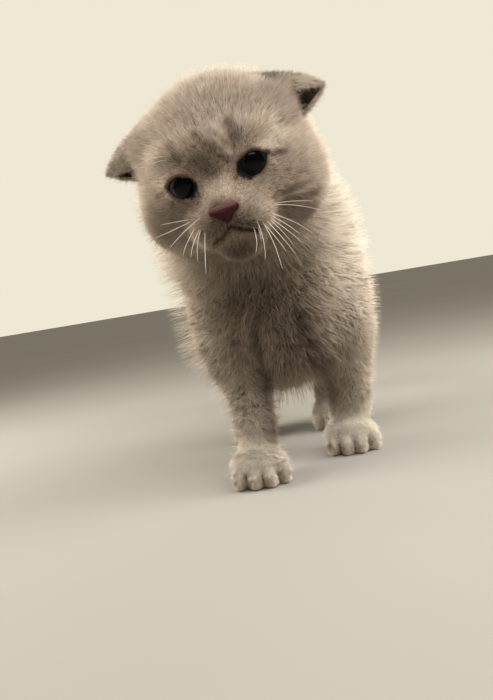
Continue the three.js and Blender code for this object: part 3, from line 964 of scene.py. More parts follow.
def eyeFinish(side):
    finish = Finish("eye_" + side, IOR=1.36, Specular_IOR_Level=0.2)
    away = finish.attribute("fromPupil")
    spoke = finish.attribute("spoke")
    grain = finish.noise(finish.attribute("home", "Vector"), 1.6, 3.0)
    rings = [(0.0, paint(3, 4, 6)), (iris["pupil"] - 0.15, paint(4, 5, 8)),
             (iris["pupil"] + 0.2, paint(30, 32, 37)), (iris["ring"], paint(38, 40, 44)),
             (iris["edge"] - 0.2, paint(18, 18, 20)), (iris["edge"] + 0.1, paint(7, 6, 6)),
             (iris["reach"], paint(8, 6, 6))]
    colour = finish.ramp(away / iris["reach"], [(far / iris["reach"], c) for far, c in rings])
    shaded = finish.brightened(colour, 0.6 + 0.4 * spoke + 0.3 * grain)
    outside = finish.between(away, iris["ring"], iris["edge"] - 0.3)
    finish.surface(Base_Color=shaded, Roughness=0.05 + 0.6 * outside)
    return finish.material


def makeEye(side, name):
    rings, turns = dome["rings"], dome["turns"]
    lean = np.linspace(0, np.pi, rings + 1)[1:-1]
    turn = np.linspace(0, 2 * np.pi, turns, endpoint=False)
    lean, turn = np.meshgrid(lean, turn, indexing="ij")
    local = np.stack([np.sin(lean) * np.cos(turn), np.sin(lean) * np.sin(turn), np.cos(lean)],
                     -1).reshape(-1, 3)
    local = np.concatenate([local, [(0, 0, 1), (0, 0, -1)]])
    aside = np.arccos(np.clip(-local[:, 1], -1, 1))
    bulge = dome["height"] * np.exp(-((aside / dome["width"]) ** 4))
    local = local * (eye["radius"] + bulge)[:, None]
    index = np.arange((rings - 1) * turns).reshape(rings - 1, turns)
    nextIndex = np.roll(index, -1, 1)
    quads = np.stack([index[:-1], nextIndex[:-1], nextIndex[1:], index[1:]], -1).reshape(-1, 4)
    top, bottom = len(local) - 2, len(local) - 1
    caps = [(top, index[0, k], nextIndex[0, k]) for k in range(turns)]
    caps += [(bottom, nextIndex[-1, k], index[-1, k]) for k in range(turns)]
    faces = np.concatenate([quads[:, [0, 3, 2]], quads[:, [0, 2, 1]], np.array(caps)])
    across = local[:, 0] - iris["aside"]
    away = np.hypot(across, local[:, 2]) + np.where(local[:, 1] > 0, iris["reach"], 0)
    spoke = 0.5 + 0.5 * np.sin(37 * np.arctan2(local[:, 2], across)) * smooth(2, 3.4, away)
    # painted shade: each iris darkened towards +X, so that its ring shows only as a crescent on
    # the -X side
    spoke = spoke - 1.2 * smooth(-0.5, 3.0, across)
    middle = np.array(eye["at"]) * (side, 1, 1)
    points = fromHead(middle + local @ eyeTurns[side].T)
    attributes = {"home": points, "fromPupil": away, "spoke": spoke}
    piece = makeMesh(name + "_ball", points, faces, eyeFinish(name[4:]), attributes)
    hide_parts(name)


makeEye(1, "eye_left")
makeEye(-1, "eye_right")

# Nose leather: fine pebbled skin, with a comma of a nostril on each side
leatherBox = {"low": (-5.6, -37, -12), "high": (5.6, -29, -4), "step": 0.16}
leather = {"dark": paint(46, 12, 15), "light": paint(64, 21, 23), "deep": paint(30, 10, 12),
           "down": paint(118, 84, 76), "grain": 0.035, "crease": 0.25}
nostrilKnots = [(1.9, -35.9, -8.9, 0.5), (2.7, -35.6, -8.5, 0.55), (3.7, -34.9, -7.8, 0.5),
                (4.7, -33.6, -6.8, 0.4)]


nostrils = blend(0.3, *both(limb(nostrilKnots)))


def leatherForm(points):
    grain = leather["grain"] * (np.sin(points[:, 0] * 9.1 + 2 * np.sin(points[:, 2] * 6))
                              * np.sin(points[:, 2] * 10.3 + 2 * np.sin(points[:, 0] * 7)))
    crease = leather["crease"] * bell(points[:, 0], 0.35) * (points[:, 2] < -8)
    body = noseForm(points) + crease + grain
    return -melted(-body, nostrils(points), 0.5)


def makeNose():
    points, quads = contour(leatherForm, *leatherBox.values())
    finish = Finish("nose_leather", Roughness=0.65, Specular_IOR_Level=0.18, Coat_Weight=0.03,
                    Coat_Roughness=0.4)
    home = finish.attribute("home", "Vector")
    mottle = finish.noise(home, 0.9, 3.0)
    colour = finish.mixed(mottle, leather["dark"], leather["light"])
    colour = finish.mixed(finish.attribute("deep"), colour, leather["deep"])
    colour = finish.mixed(finish.attribute("downy"), colour, leather["down"])
    finish.surface(Base_Color=colour)
    finish.bump(finish.noise(home, 4.0, 2.0), 0.4, 0.0002)
    # painted shade in the nostril hollows; the leather also darkens towards its lower edge and out
    # on its sides
    deep = 1 - smooth(-0.1, 0.45, nostrils(points))
    deep = np.maximum(deep, 0.75 * (1 - smooth(-10.2, -6.6, points[:, 2])))
    wings = np.abs(points[:, 0]) - 0.25 * (points[:, 2] + 8)
    deep = np.maximum(deep, 0.9 * smooth(2.3, 4.0, wings))
    downy = smooth(-6.8, -5.0, points[:, 2] + 0.35 * waves(points, 0.9, 3)) * 0.7
    piece = makeMesh("nose_leather", fromHead(points), halved(quads), finish.material,
                     {"home": points, "deep": deep, "downy": downy})
    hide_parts("nose")


makeNose()
print("face: eyes and nose made")

# The lie of the coat: places and the way the hairs point there, on the head and on the body. The
# head's right side mirrors its left
headLie = [
    ((0, -36, -6), (0, 0.2, 1)), ((0, -31, -1), (0, 0.35, 1)), ((0, -26, 8), (0, 0.4, 1)),
    ((0, -20, 20), (0, 0.7, 0.7)), ((0, 0, 32), (0, 1, 0)), ((0, 24, 22), (0, 0.7, -0.7)),
    ((0, 33, 4), (0, 0.3, -1)), ((7, -32, -10), (1, 0.4, 0.15)), ((9, -30, -13), (1, 0.5, -0.3)),
    ((3, -34, -14), (0.7, 0.1, -0.8)), ((0, -30, -22), (0, 0.4, -1)),
    ((0, -14, -27), (0, 1, -0.2)), ((15, -24, -12), (0.9, 0.7, -0.35)),
    ((22, -16, -8), (0.8, 0.9, -0.25)), ((24, -10, -17), (0.5, 0.8, -0.6)),
    ((14, -16, -24), (0.4, 0.8, -0.6)), ((11, -26, 9), (0.25, 0.3, 0.9)),
    ((6, -25, 3), (-0.1, 0.3, 1)), ((17, -22, 8), (0.8, 0.4, 0.6)), ((19, -20, 0), (1, 0.6, 0.05)),
    ((12, -26, -6), (0.8, 0.4, -0.3)), ((22, -14, 12), (0.7, 0.7, 0.3)),
    ((12, -14, 24), (0.25, 0.8, 0.5)), ((30, 2, 2), (0.2, 1, -0.25)),
    ((22, 4, 24), (0.3, 0.9, 0.0)), ((30, 6, -12), (0.1, 0.8, -0.6)),
    ((18, 26, 8), (0.0, 0.6, -0.8)), ((9, -21, 14), (0.2, 0.5, 0.8)),
    ((14, -18, 12), (0.4, 0.5, 0.7)), ((19, -15, 10), (0.6, 0.5, 0.5)),
    ((21, -9, 17), (1, 0.0, 0.15)), ((20, -9, 22), (1, 0.2, 0.1)), ((25, -8, 11), (1, 0.2, 0.2)),
]
bodyLie = [
    ((-3, 4, 104), (0, 1, -0.15)), ((0, 30, 105), (0, 1, -0.05)), ((3, 58, 100), (0, 1, -0.1)),
    ((4, 84, 98), (0, 1, -0.35)), ((-30, 12, 84), (0, 0.5, -0.85)),
    ((30, 14, 84), (0, 0.5, -0.85)), ((-31, 36, 72), (0, 0.8, -0.6)),
    ((31, 36, 72), (0, 0.8, -0.6)), ((-31, 60, 70), (0, 0.75, -0.65)),
    ((35, 60, 70), (0, 0.75, -0.65)), ((-24, 84, 66), (0, 0.4, -0.9)),
    ((30, 84, 66), (0, 0.4, -0.9)), ((-24, 34, 40), (0, 0.85, -0.45)),
    ((26, 34, 40), (0, 0.85, -0.45)), ((0, 30, 28), (0, 1, 0)), ((3, 58, 28), (0, 1, 0)),
    ((4, 99, 66), (0, 0.1, -1)), ((-6, -21, 78), (0, -0.1, -1)), ((-6, -20, 62), (0, 0.25, -1)),
    ((-28, -10, 70), (-0.25, 0.1, -1)), ((20, -6, 70), (0.25, 0.1, -1)),
    ((-2, -8, 42), (0, 0.7, -0.7)), ((-40, -14, 92), (-0.25, 0.4, -0.9)),
    ((22, -12, 92), (0.25, 0.4, -0.9)), ((-10, -34, 84), (0, 0.0, -1)),
    ((-8, 4, 110), (0, 1, -0.3)), ((-36, 4, 88), (-0.1, 0.6, -0.8)),
    ((24, 6, 90), (0.1, 0.6, -0.8)),
]
for legName, leg in legs.items():
    knots = np.array(leg["flesh"], float)[:, :3]
    for a, b in zip(knots[:-1], knots[1:]):
        bodyLie.append((tuple((a + b) / 2), tuple((b - a) + (0, 0.25 * (a - b)[2], 0))))
    (x, y), heading = leg["paw"], leg["heading"]
    aside, ahead = math.sin(heading), -math.cos(heading)
    bodyLie += [((x, y, 15), (aside, ahead * 0.5, -0.9)), ((x, y - 8, 10), (aside, ahead, -0.55)),
                ((x, y - 16, 5), (aside, ahead * 0.5, -0.9)), ((x, y + 9, 6), (0, 0.3, -1))]
    bodyLie += [((x + 9 * side, y - 5, 10), (0.3 * side, -0.6, -0.8)) for side in (-1, 1)]
tailLine = np.array(tailKnots, float)[:, :3]
for a, b in zip(tailLine[:-1], tailLine[1:]):
    bodyLie.append((tuple((a + b) / 2), tuple(b - a)))
lieReach = {"head": 6.0, "body": 9.0}


def unit(vectors):
    return vectors / np.maximum(np.sqrt((vectors**2).sum(-1, keepdims=True)), 1e-9)


def lieAt(points, strokes, reach):
    total = np.zeros_like(points)
    for place, way in strokes:
        away = ((points - place) ** 2).sum(1)
        total += np.exp(-away / (2 * reach**2))[:, None] * unit(np.array(way, float))
        total += 1e-9 * unit(np.array(way, float)) / (away[:, None] + 1)
    return unit(total)


headStrokes = []
for place, way in headLie:
    headStrokes.append((place, way))
    if place[0]:
        headStrokes.append(((-place[0], *place[1:]), (-way[0], *way[1:])))


def lieOfCoat(points, onHead):
    local = lieAt(toHead(points), headStrokes, lieReach["head"]) @ headTurn.T
    body = lieAt(points, bodyLie, lieReach["body"])
    return unit(local * onHead[:, None] + body * (1 - onHead)[:, None])


# Coat pieces: how many curved and straight tufts, how wide, how far they clump, the share of
# single hairs that stray, how the lie waves and stirs, and how long the strays are
torsoCoat = {"curved": 6000, "straight": 33000, "width": 0.33, "clump": 0.36, "stray": 0.14,
             "wave": 0.5, "stir": 0.75, "long": 1.7}
coats = {
    "coat_face": {"curved": 0, "straight": 49000, "width": 0.27, "clump": 0.3, "stray": 0.05,
                  "wave": 0.3, "stir": 0.45, "long": 0.9},
    "coat_head": {"curved": 0, "straight": 49000, "width": 0.23, "clump": 0.15, "stray": 0.12,
                  "wave": 0.25, "stir": 0.42, "long": 1.0},
    "coat_neck": {"curved": 6000, "straight": 34000, "width": 0.31, "clump": 0.36, "stray": 0.14,
                  "wave": 0.5, "stir": 0.75, "long": 1.7},
    "coat_torso_left": torsoCoat,
    "coat_torso_right": torsoCoat,
    "coat_forelegs": {"curved": 0, "straight": 49000, "width": 0.29, "clump": 0.42,
                      "stray": 0.12, "wave": 0.3, "stir": 0.45, "long": 1.5},
    "coat_hindlegs": {"curved": 3000, "straight": 28000, "width": 0.32, "clump": 0.42,
                      "stray": 0.14, "wave": 0.3, "stir": 0.42, "long": 1.7},
    "coat_tail": {"curved": 2500, "straight": 14000, "width": 0.28, "clump": 0.2,
                  "stray": 0.14, "wave": 0.2, "stir": 0.42, "long": 1.3},
}
strayHairs = {"width": 0.19, "rise": 0.55, "steep": 0.62, "extra": 0.3,
              "eased": 0.42, "easedOver": (14, 32)}  # shorter over the left flank
tuft = {"sunk": 0.35, "bend": 0.24, "waist": 0.72, "ridge": 0.8, "perClump": 9,
        "waves": (9, 3.6), "lengths": (0.75, 1.2), "widths": (0.6, 1.3), "fine": 0.85}
laid = {"brow": 0.2, "face": 0.35, "back": 0.42, "seam": 0.3}  # steeper or flatter lifts
earTufts = {"at": (22.5, -7.5, 16.5), "around": 34, "longer": 2.0}  # before each ear's root


# Which coat each point of the skin belongs to, by the part it mostly lies on
def coatOf(shares, points):
    top = np.array(partNames)[shares.argmax(1)]
    local = toHead(points)
    names = np.full(len(points), "coat_neck", dtype="<U20")
    names[top == "head"] = "coat_head"
    names[(top == "head") & (local[:, 1] < -8)] = "coat_face"
    torso = top == "torso"
    names[torso & (points[:, 0] >= 0)] = "coat_torso_left"
    names[torso & (points[:, 0] < 0)] = "coat_torso_right"
    names[np.char.startswith(top, "foreleg")] = "coat_forelegs"
    names[np.char.startswith(top, "hindleg")] = "coat_hindlegs"
    names[top == "tail"] = "coat_tail"
    return names


# Where each tuft's patch lies on its coat's bake map: the coat laid out round its own part
def unwrapOf(name, points):
    if name in ("coat_face", "coat_head"):
        local = toHead(points) - (0, -2, -1)
        turn = np.arctan2(local[:, 0], -local[:, 1])
        lean = np.arctan2(local[:, 2], np.hypot(local[:, 0], local[:, 1]))
        return np.stack([0.5 + turn / 6.4, 0.5 + lean / 3.3], 1)
    if name == "coat_tail":
        turn = np.arctan2(points[:, 0] - 8, points[:, 2] - 60)
        return np.stack([(points[:, 1] - 80) / 110, 0.5 + turn / 6.4], 1)
    if name in ("coat_forelegs", "coat_hindlegs"):
        left = points[:, 0] > 0
        middle = {"coat_forelegs": (20, 12, -20, -5), "coat_hindlegs": (20, 72, -19.5, 74)}[name]
        x = points[:, 0] - np.where(left, middle[0], middle[2])
        y = points[:, 1] - np.where(left, middle[1], middle[3])
        return np.stack([0.25 + np.arctan2(x, -y) / 13 + 0.5 * left, points[:, 2] / 90], 1)
    if name == "coat_neck":
        turn = np.arctan2(points[:, 0] + 8, -points[:, 1] - 6)
        return np.stack([0.5 + turn / 6.4, (points[:, 2] - 60) / 75], 1)
    turn = np.arctan2(np.abs(points[:, 0] - 1), points[:, 2] - 64)
    return np.stack([(points[:, 1] + 35) / 145, turn / 3.3 + 0.02], 1)


def pickRoots(points, faces, weights, count, draw):
    a, b, c = (points[faces[:, k]] for k in range(3))
    area = np.sqrt((np.cross(b - a, c - a) ** 2).sum(1)) / 2
    chance = area * weights[faces].mean(1)
    face = draw.choice(len(faces), count, p=chance / chance.sum())
    u, v = draw.random(count), draw.random(count)
    over = u + v > 1
    u[over], v[over] = 1 - u[over], 1 - v[over]
    shares = np.stack([1 - u - v, u, v], 1)
    return face, shares


def spread(values, faces, face, shares):
    corners = values[faces[face]]
    return np.einsum("nk...,nk->n...", corners, shares)


# Tufts: each is a closed, three-sided blade that bends over from its root and tapers to a point.
# A fine one is straight and has no ring of points at its middle
def blades(roots, normals, lie, length, lift, width, fine):
    side = unit(np.cross(normals, lie))
    up = unit(normals)
    first = lift + (0.0 if fine else tuft["bend"])
    last = lift - tuft["bend"]
    start = np.cos(first)[:, None] * lie + np.sin(first)[:, None] * up
    finish = np.cos(last)[:, None] * lie + np.sin(last)[:, None] * up
    bases = roots - tuft["sunk"] * up
    sections = [(bases, 1.0)]
    if fine:
        tips = bases + start * length[:, None]
    else:
        middles = bases + start * (length * 0.5)[:, None]
        sections.append((middles, tuft["waist"]))
        tips = middles + finish * (length * 0.5)[:, None]
    ridge = np.cross(start, side)
    points, along = [], []
    for k, (middle, share) in enumerate(sections):
        half = (width * share / 2)[:, None]
        points += [middle - side * half, middle + side * half,
                   middle + ridge * half * tuft["ridge"]]
        along += [0.5 * k] * 3
    points.append(tips)
    along.append(1.0)
    count = len(points)
    pattern = [(0, 2, 1)]
    for k in range(0, count - 4, 3):
        for i in range(3):
            j = (i + 1) % 3
            pattern += [(k + i, k + j, k + 3 + j), (k + i, k + 3 + j, k + 3 + i)]
    top = count - 4
    pattern += [(top + i, top + (i + 1) % 3, count - 1) for i in range(3)]
    faces = np.array(pattern)[None] + (np.arange(len(roots)) * count)[:, None, None]
    corner = np.array([(-0.8, -0.2), (0.8, -0.2), (0, 1)] * len(sections) + [(0, 0.6)])
    facing = side[:, None] * corner[None, :, :1] + ridge[:, None] * corner[None, :, 1:]
    soft = unit(facing * 0.45 + up[:, None] * 0.75 + start[:, None] * 0.12)
    return np.stack(points, 1), np.array(along), faces.reshape(-1, 3), soft


# A patch of the bake map for every tuft, at its root's place on the unwrap
bakePatch = {"margin": 0.003, "size": 0.0015}


def patchesOf(unwrap, perTuft):
    rings = (perTuft - 1) // 3
    corners = [(x, -1 + ring) for ring in range(rings) for x in (-0.9, 0.9, 0)] + [(0, 1)]
    inside = np.clip(unwrap, bakePatch["margin"], 1 - bakePatch["margin"])
    spots = inside[:, None] + np.array(corners) * bakePatch["size"]
    return spots.reshape(-1, 2)


# The way from each tip to the tip of its clump's middle tuft, and which clump it is in
def clumpTips(roots, tips, perClump):
    middles = np.arange(0, len(roots), perClump)
    tree = kdtree.KDTree(len(middles))
    for i, k in enumerate(middles):
        tree.insert(roots[k], i)
    tree.balance()
    nearest = np.array([tree.find(root)[1] for root in roots])
    return tips[middles[nearest]] - tips, nearest


# The shapes of a coat's tufts over their roots; ups are the skin's normals there
def grow(settings, fine, roots, ups, lie, depth, lift, reach, draw, seed):
    count = len(roots)
    broad, narrow = (np.stack([waves(roots, size, 7 + k) for k in range(3)], 1)
                     for size in tuft["waves"])
    lie = unit(lie + settings["wave"] * (broad + 0.6 * narrow)
               + draw.normal(size=(count, 3)) * settings["stir"])
    lie = unit(lie - (lie * ups).sum(1, keepdims=True) * ups)
    above = smooth(7, 30, roots[:, 2])
    inFront = smooth(0.35, 0.8, -ups[:, 1])
    chance = settings["stray"] * (0.1 + 0.9 * above) * (1 - 0.7 * inFront)
    stray = draw.random(count) < chance
    lift = lift * (1 + 0.16 * waves(roots, 6, seed + 9)) + draw.normal(size=count) * 0.12
    lift = np.clip(lift + stray * strayHairs["rise"], 0.12, 1.4)
    length = depth / np.sin(np.clip(lift, 0.3, 1.2)) * draw.uniform(*tuft["lengths"], count)
    length = length * reach * (tuft["fine"] if fine else 1)
    ease = 1 - strayHairs["eased"] * smooth(*strayHairs["easedOver"], roots[:, 0])
    longer = depth / strayHairs["steep"] * settings["long"] * ease
    length = np.where(stray, longer, length) + strayHairs["extra"]
    width = settings["width"] * draw.uniform(*tuft["widths"], count)
    width = width * (0.72 + 0.28 * np.clip(depth / 3.0, 0.3, 1))
    width = np.where(stray, np.minimum(strayHairs["width"], width), width)
    blade, along, faces, soft = blades(roots, ups, lie, length, lift, width, fine)
    toward, nearest = clumpTips(roots, blade[:, -1], tuft["perClump"])
    uneven = (0.7 + 0.3 * waves(roots, 14, seed + 20)) * (0.6 + 0.4 * above)
    pull = np.where(stray[:, None], 0, settings["clump"] * uneven[:, None])
    for k, share in enumerate(along):
        blade[:, k] += toward * pull * share**1.5
    blade[:, :, 2] = np.maximum(blade[:, :, 2], 0.05)
    clumpShade = draw.random(nearest.max() + 1)[nearest]
    shade = 0.45 * draw.random(count) + 0.55 * clumpShade
    # stray hairs are painted brighter: painted light, as if lit through from behind
    shade = np.where(stray, 0.5 + 0.4 * shade, shade)
    rise = ((blade[:, -1] - roots) * ups).sum(1, keepdims=True)
    below = blade[:, -1] - (rise - 0.8) * ups  # where each tip is over the skin
    return blade, along, faces, soft, shade, stray, below


def makeCoat(name, settings, wanted, seed):
    lumps = []
    for kind, fine in (("curved", False), ("straight", True)):
        count = settings[kind]
        if not count:
            continue
        draw = np.random.default_rng(seed + fine)
        face, shares = pickRoots(skinPoints, skinFaces, wanted, count, draw)
        roots = spread(skinPoints, skinFaces, face, shares)
        normals = unit(spread(skinNormals, skinFaces, face, shares))
        depths = partDepths(roots)
        parts = sharesOf(depths)
        onHead = parts[0]
        lift = np.radians(parts.T @ np.array([bodyParts[part]["lift"] for part in partNames]))
        local = toHead(roots)
        upright = laid["brow"] * smooth(8, 18, local[:, 2]) - laid["face"] * faceShare(local)
        onBack = smooth(0.1, 0.75, normals[:, 2]) * (1 - onHead)
        seam = 4 * onHead * (1 - onHead)
        lift = (lift * (1 + upright * onHead) * (1 - laid["back"] * onBack)
                * (1 - laid["seam"] * seam))
        folded = np.column_stack([np.abs(local[:, 0]), local[:, 1:]])
        beside = ((folded - earTufts["at"]) ** 2).sum(1)
        beside = np.exp(-beside / earTufts["around"]) * onHead
        made = grow(settings, fine, roots, normals, lieOfCoat(roots, onHead),
                    coatDepth(roots, depths), lift, 1 + earTufts["longer"] * beside, draw,
                    seed + 100 * fine)
        lumps.append((roots, onHead, 0.0, *made))
    assemble(name, lumps)


# The tufts of one coat as one mesh, with the markings under each tuft's root and tip
def assemble(name, lumps):
    points, faces, soft, patches = [], [], [], []
    attributes = {key: [] for key in ("home", "along", "shade", "dark", "pale")}
    start = 0
    for roots, onHead, paleAndLit, blade, along, bladeFaces, facing, shade, stray, below in lumps:
        perTuft = len(along)
        low = markings(roots * 0.7 + below * 0.3, onHead)
        high = markings(below, onHead)
        dark, pale = (a[:, None] + (b - a)[:, None] * along for a, b in zip(low, high))
        # painted light: the stray hairs paler, as if lit through from behind, and the ear hairs by
        # their paleAndLit share
        pale = np.maximum(pale, (0.6 * stray + paleAndLit)[:, None] * (1 - 0.8 * dark))
        points.append(blade.reshape(-1, 3))
        faces.append(bladeFaces + start)
        start += len(roots) * perTuft
        soft.append(facing.reshape(-1, 3))
        attributes["home"].append(np.repeat(roots, perTuft, 0))
        attributes["along"].append(np.tile(along, len(roots)))
        attributes["shade"].append(np.repeat(shade, perTuft))
        attributes["dark"].append(dark.ravel())
        attributes["pale"].append(pale.ravel())
        patches.append(patchesOf(unwrapOf(name, roots), perTuft))
    attributes = {key: np.concatenate(values) for key, values in attributes.items()}
    faces = np.concatenate(faces)
    piece = makeMesh(name, np.concatenate(points), faces, coatFinish, attributes,
                     np.concatenate(soft))
    corners = np.concatenate(patches)[faces.ravel()]
    layer = piece.data.uv_layers.new(name="OFBake")
    layer.data.foreach_set("uv", corners.astype(np.float32).ravel())
    print("coat:", name, len(faces), "triangles")


skinNormals = np.empty(len(skinPoints) * 3, np.float32)
skinData.vertices.foreach_get("normal", skinNormals)
skinNormals = skinNormals.reshape(-1, 3).astype(float)
coatNames = coatOf(skinShares, skinPoints)


# Where tufts may root: not on the lids' margins, the lips, the nose leather or the soles
def rootChance(points):
    local = toHead(points)
    offLids = smooth(lid["bare"], lid["furred"], nearestOpening(local))
    offLips = 1 - smooth(0.12, 0.36, mouthShare(local))
    offLeather = smooth(-0.2, 0.3, noseForm(local))
    offSoles = smooth(0.3, 1.6, points[:, 2])
    return offLids * offLips * offLeather * offSoles


openSkin = rootChance(skinPoints)
for seed, (coatName, settings) in enumerate(coats.items()):
    makeCoat(coatName, settings, openSkin * (coatNames == coatName), 100 + 50 * seed)


# Ears: short fur from root to tip on the back, longer hairs inside that are painted pale, partly
# as painted light in the ear's shaded hollow; each kind's depth is what it has at the root, then
# how much less it has at the tip
earCoat = {"width": 0.28, "clump": 0.25, "stray": 0.12, "wave": 0.3, "stir": 0.5, "long": 1.1}
earKinds = {
    # paleAndLit: paler ear hairs, partly painted light, most of all inside the ear where it lies
    # in shade
    "back": {"count": 10000, "depth": (1.8, 0.4), "lift": 40, "paleAndLit": 0.32},
    "inside": {"count": 8000, "depth": (8.4, 5.6), "lift": 60, "paleAndLit": 0.9},
}


def earGround(side):
    along, around = ear["steps"]
    local, quads = earMeshes[side]
    grid = fromHead(local).reshape(2, along + 1, around + 1, 3)
    out = unit(grid[0] - grid[1])
    lie = unit(np.gradient(grid, axis=1))
    over = unit(np.gradient(grid, axis=2))
    share = np.linspace(0, 1, around + 1)[None, None, :, None]
    edge = (smooth(0.86, 1, share) - 1 + smooth(0, 0.14, share)) * 0.7
    lie = unit(lie + over * edge)
    normals = np.stack([out, -out])
    faces = halved(quads)
    size = (along + 1) * (around + 1)
    layer = (faces < size).sum(1)
    t = np.tile(np.repeat(np.linspace(0, 1, along + 1), around + 1), 2)
    return {"points": grid.reshape(-1, 3), "normals": normals.reshape(-1, 3),
            "lie": lie.reshape(-1, 3), "t": t, "back": faces[layer == 3],
            "inside": faces[layer == 0], "rim": faces[(layer > 0) & (layer < 3)]}


def makeEarCoat(name, seed):
    lumps = []
    for side in (1, -1):
        ground = earGround(side)
        for kind, wanted in earKinds.items():
            draw = np.random.default_rng(seed)
            seed += 1
            inside = kind == "inside"
            faces = ground[kind]
            if not inside:
                faces = np.concatenate([faces, ground["rim"]])
            weights = 0.2 + (ground["t"] < 0.5) * 1.0 if inside else np.ones(len(ground["t"]))
            face, shares = pickRoots(ground["points"], faces, weights, wanted["count"], draw)
            roots, normals, lie, t = (spread(ground[key], faces, face, shares)
                                      for key in ("points", "normals", "lie", "t"))
            depth = wanted["depth"][0] - wanted["depth"][1] * t
            lift = np.full(len(roots), np.radians(wanted["lift"]))
            made = grow(earCoat, True, roots, unit(normals), unit(lie), depth, lift, 1.0, draw,
                        seed)
            lumps.append((roots, np.ones(len(roots)), wanted["paleAndLit"], *made))
    assemble(name, lumps)


makeEarCoat("coat_ears", 900)

# Whiskers: root, middle and tip of each in the head's frame
whisker = {"pads": 0.29, "brow": 0.16, "tip": 0.06, "sides": 5, "steps": 14}
padWhiskers = [
    ((7.9, -32.2, -13.5), (8.3, -35.1, -18.6), (7.3, -38.4, -23.6)),
    ((9.1, -31.0, -14.2), (10.7, -34.1, -19.9), (11.2, -38.8, -27.8)),
    ((10.2, -29.7, -14.2), (13.2, -32.4, -19.6), (15.9, -35.4, -25.3)),
    ((11.2, -28.2, -13.9), (15.0, -30.4, -18.4), (18.7, -32.9, -23.4)),
    ((11.7, -27.5, -13.0), (17.3, -29.3, -16.9), (22.2, -31.6, -21.8)),
    ((12.7, -24.7, -11.6), (18.5, -25.4, -13.1), (26.5, -27.2, -17.1)),
    ((13.0, -23.8, -11.3), (18.7, -24.3, -12.2), (24.7, -25.2, -14.0)),
    ((6.3, -32.1, -14.5), (6.3, -34.2, -18.1), (5.1, -36.4, -21.2)),
    ((9.4, -30.0, -14.8), (11.7, -32.5, -19.6), (13.7, -34.9, -24.1)),
    ((11.4, -28.3, -13.3), (15.5, -30.1, -17.1), (19.0, -32.3, -21.5)),
    ((7.4, -31.6, -14.7), (7.7, -32.7, -16.7), (7.4, -34.0, -18.8)),
    ((10.8, -28.6, -14.3), (13.4, -30.4, -17.9), (16.0, -33.3, -23.4)),
    ((-8.1, -29.9, -7.5), (-14.0, -33.6, -9.7), (-18.2, -36.6, -12.1)),
    ((-10.6, -30.1, -10.0), (-13.7, -32.8, -12.8), (-15.8, -35.3, -15.9)),
    ((-9.8, -32.0, -11.2), (-11.9, -34.2, -13.7), (-13.4, -36.5, -16.7)),
    ((-7.8, -33.4, -12.4), (-9.0, -36.4, -16.9), (-10.1, -39.8, -21.9)),
    ((-12.3, -25.2, -8.3), (-17.9, -27.9, -8.7), (-23.0, -30.3, -8.8)),
    ((-12.9, -24.1, -7.7), (-16.9, -25.7, -6.8), (-20.9, -27.3, -6.1)),
    ((-9.2, -32.6, -11.5), (-10.7, -34.7, -14.3), (-11.6, -37.4, -18.3)),
]
browWhiskers = [
    ((-10.1, -22.6, 9.7), (-15.0, -23.4, 12.6), (-22.0, -25.8, 12.2)),
    ((-10.5, -22.6, 9.5), (-14.8, -23.4, 11.3), (-20.0, -25.5, 10.3)),
    ((-12.4, -19.6, 10.9), (-16.0, -19.6, 15.5), (-21.0, -21.4, 18.4)),
    ((16.7, -15.5, 10.5), (19.7, -14.9, 11.8), (23.1, -14.3, 12.7)),
    ((17.1, -15.4, 9.7), (20.5, -14.8, 10.6), (23.7, -14.5, 10.7)),
]


def whiskerTube(line, wide):
    steps, sides = whisker["steps"], whisker["sides"]
    root, middle, tip = (np.array(place, float) for place in line)
    root = root - 1.2 * unit(middle - root)
    bend = 2 * middle - (root + tip) / 2
    t = np.linspace(0, 1, steps + 1)[:, None]
    path = (1 - t) ** 2 * root + 2 * t * (1 - t) * bend + t**2 * tip
    way = unit(np.gradient(path, axis=0))
    across = unit(np.cross(way, (0.3, 0.9, 0.2)))
    up = np.cross(across, way)
    radius = ((wide - whisker["tip"]) * (1 - t) ** 0.7 + whisker["tip"]) / 2
    turn = np.linspace(0, 2 * np.pi, sides, endpoint=False)[None, :, None]
    circle = np.cos(turn) * across[:, None] + np.sin(turn) * up[:, None]
    rings = path[:, None] + radius[:, None] * circle
    index = np.arange((steps + 1) * sides).reshape(steps + 1, sides)
    after = np.roll(index, -1, 1)
    quads = np.stack([index[:-1], index[1:], after[1:], after[:-1]], -1).reshape(-1, 4)
    caps = [(0, k, k + 1) for k in range(1, sides - 1)]
    last = index[-1]
    caps += [(last[0], last[k + 1], last[k]) for k in range(1, sides - 1)]
    return rings.reshape(-1, 3), np.concatenate([halved(quads), np.array(caps)])


def makeWhiskers():
    finish = Finish("whisker", Roughness=0.35, Specular_IOR_Level=0.4)
    home = finish.attribute("home", "Vector")
    tone = finish.noise(home, 0.8, 2.0)
    finish.surface(Base_Color=finish.mixed(tone, paint(206, 195, 178), paint(232, 224, 210)))
    points, faces, start = [], [], 0
    lines = [(line, whisker["pads"]) for line in padWhiskers]
    lines += [(line, whisker["brow"]) for line in browWhiskers]
    for line, wide in lines:
        tube, tubeFaces = whiskerTube(line, wide)
        points.append(fromHead(tube))
        faces.append(tubeFaces + start)
        start += len(tube)
    points = np.concatenate(points)
    piece = makeMesh("whiskers", points, np.concatenate(faces), finish.material, {"home": points})


makeWhiskers()
print("coat and whiskers: made")

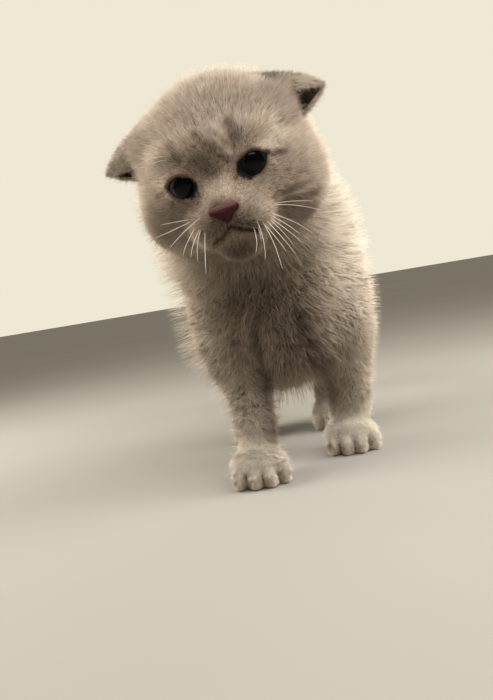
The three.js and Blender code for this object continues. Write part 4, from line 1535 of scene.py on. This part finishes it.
# Floor and light: a plain pale studio
studio = {"front": 0.15, "behind": 0.96, "lampSize": 0.3, "aim": (-5, 10, 70), "floor": 6}
white, warm = (1.0, 0.985, 0.96), (1.0, 0.97, 0.93)
lamps = {  # place, power, colour
    "key": ((271, -174, 387), 1.3, white),
    "top": ((10, -290, 460), 1.4, white),
    "side": ((430, 20, 190), 2.4, white),
    "rim": ((-400, 90, 250), 2.8, warm),
}


def areaLight(name, place, power, colour):
    data = bpy.data.lights.new(name, "AREA")
    data.shape = "RECTANGLE"
    data.size = data.size_y = studio["lampSize"]
    data.energy = power
    data.color = colour
    light = bpy.data.objects.new(name, data)
    bpy.context.scene.collection.objects.link(light)
    light.location = toWorld(place)
    toward = toWorld(studio["aim"]) - toWorld(place)
    light.rotation_euler = Vector(toward).to_track_quat("-Z", "Y").to_euler()
    light.visible_glossy = name == "top"


def makeStudio():
    mesh = bpy.data.meshes.new("floor")
    far = studio["floor"]
    corners = [(-far, -far, 0), (far, -far, 0), (far, far, 0), (-far, far, 0)]
    mesh.from_pydata(corners, [], [(0, 1, 2, 3)])
    floor = bpy.data.objects.new("floor", mesh)
    bpy.context.scene.collection.objects.link(floor)
    finish = Finish("floor", Roughness=0.9)
    place = finish.wire(finish.node("ShaderNodeNewGeometry"))
    tone = finish.noise(place, 6.0, 2.0)
    finish.surface(Base_Color=finish.mixed(tone, paint(150, 145, 137), paint(162, 157, 149)))
    mesh.materials.append(finish.material)
    world = bpy.data.worlds.new("studio")
    world.use_nodes = True
    bpy.context.scene.world = world
    sky = Network(world.node_tree)  # a bright wall behind the kitten, a dim room before it
    way = sky.node("ShaderNodeSeparateXYZ", None, sky.wire(sky.node("ShaderNodeTexCoord")))
    wall = sky.between(sky.wire(way, 1), -0.45, 0.75, studio["front"], studio["behind"])
    light = world.node_tree.nodes["Background"]
    light.inputs["Color"].default_value = paint(243, 236, 216)
    sky.feed(light.inputs["Strength"], wall)
    for name, (place, power, colour) in lamps.items():
        areaLight(name, place, power, colour)


makeStudio()
bpy.context.scene.view_settings.view_transform = "Standard"
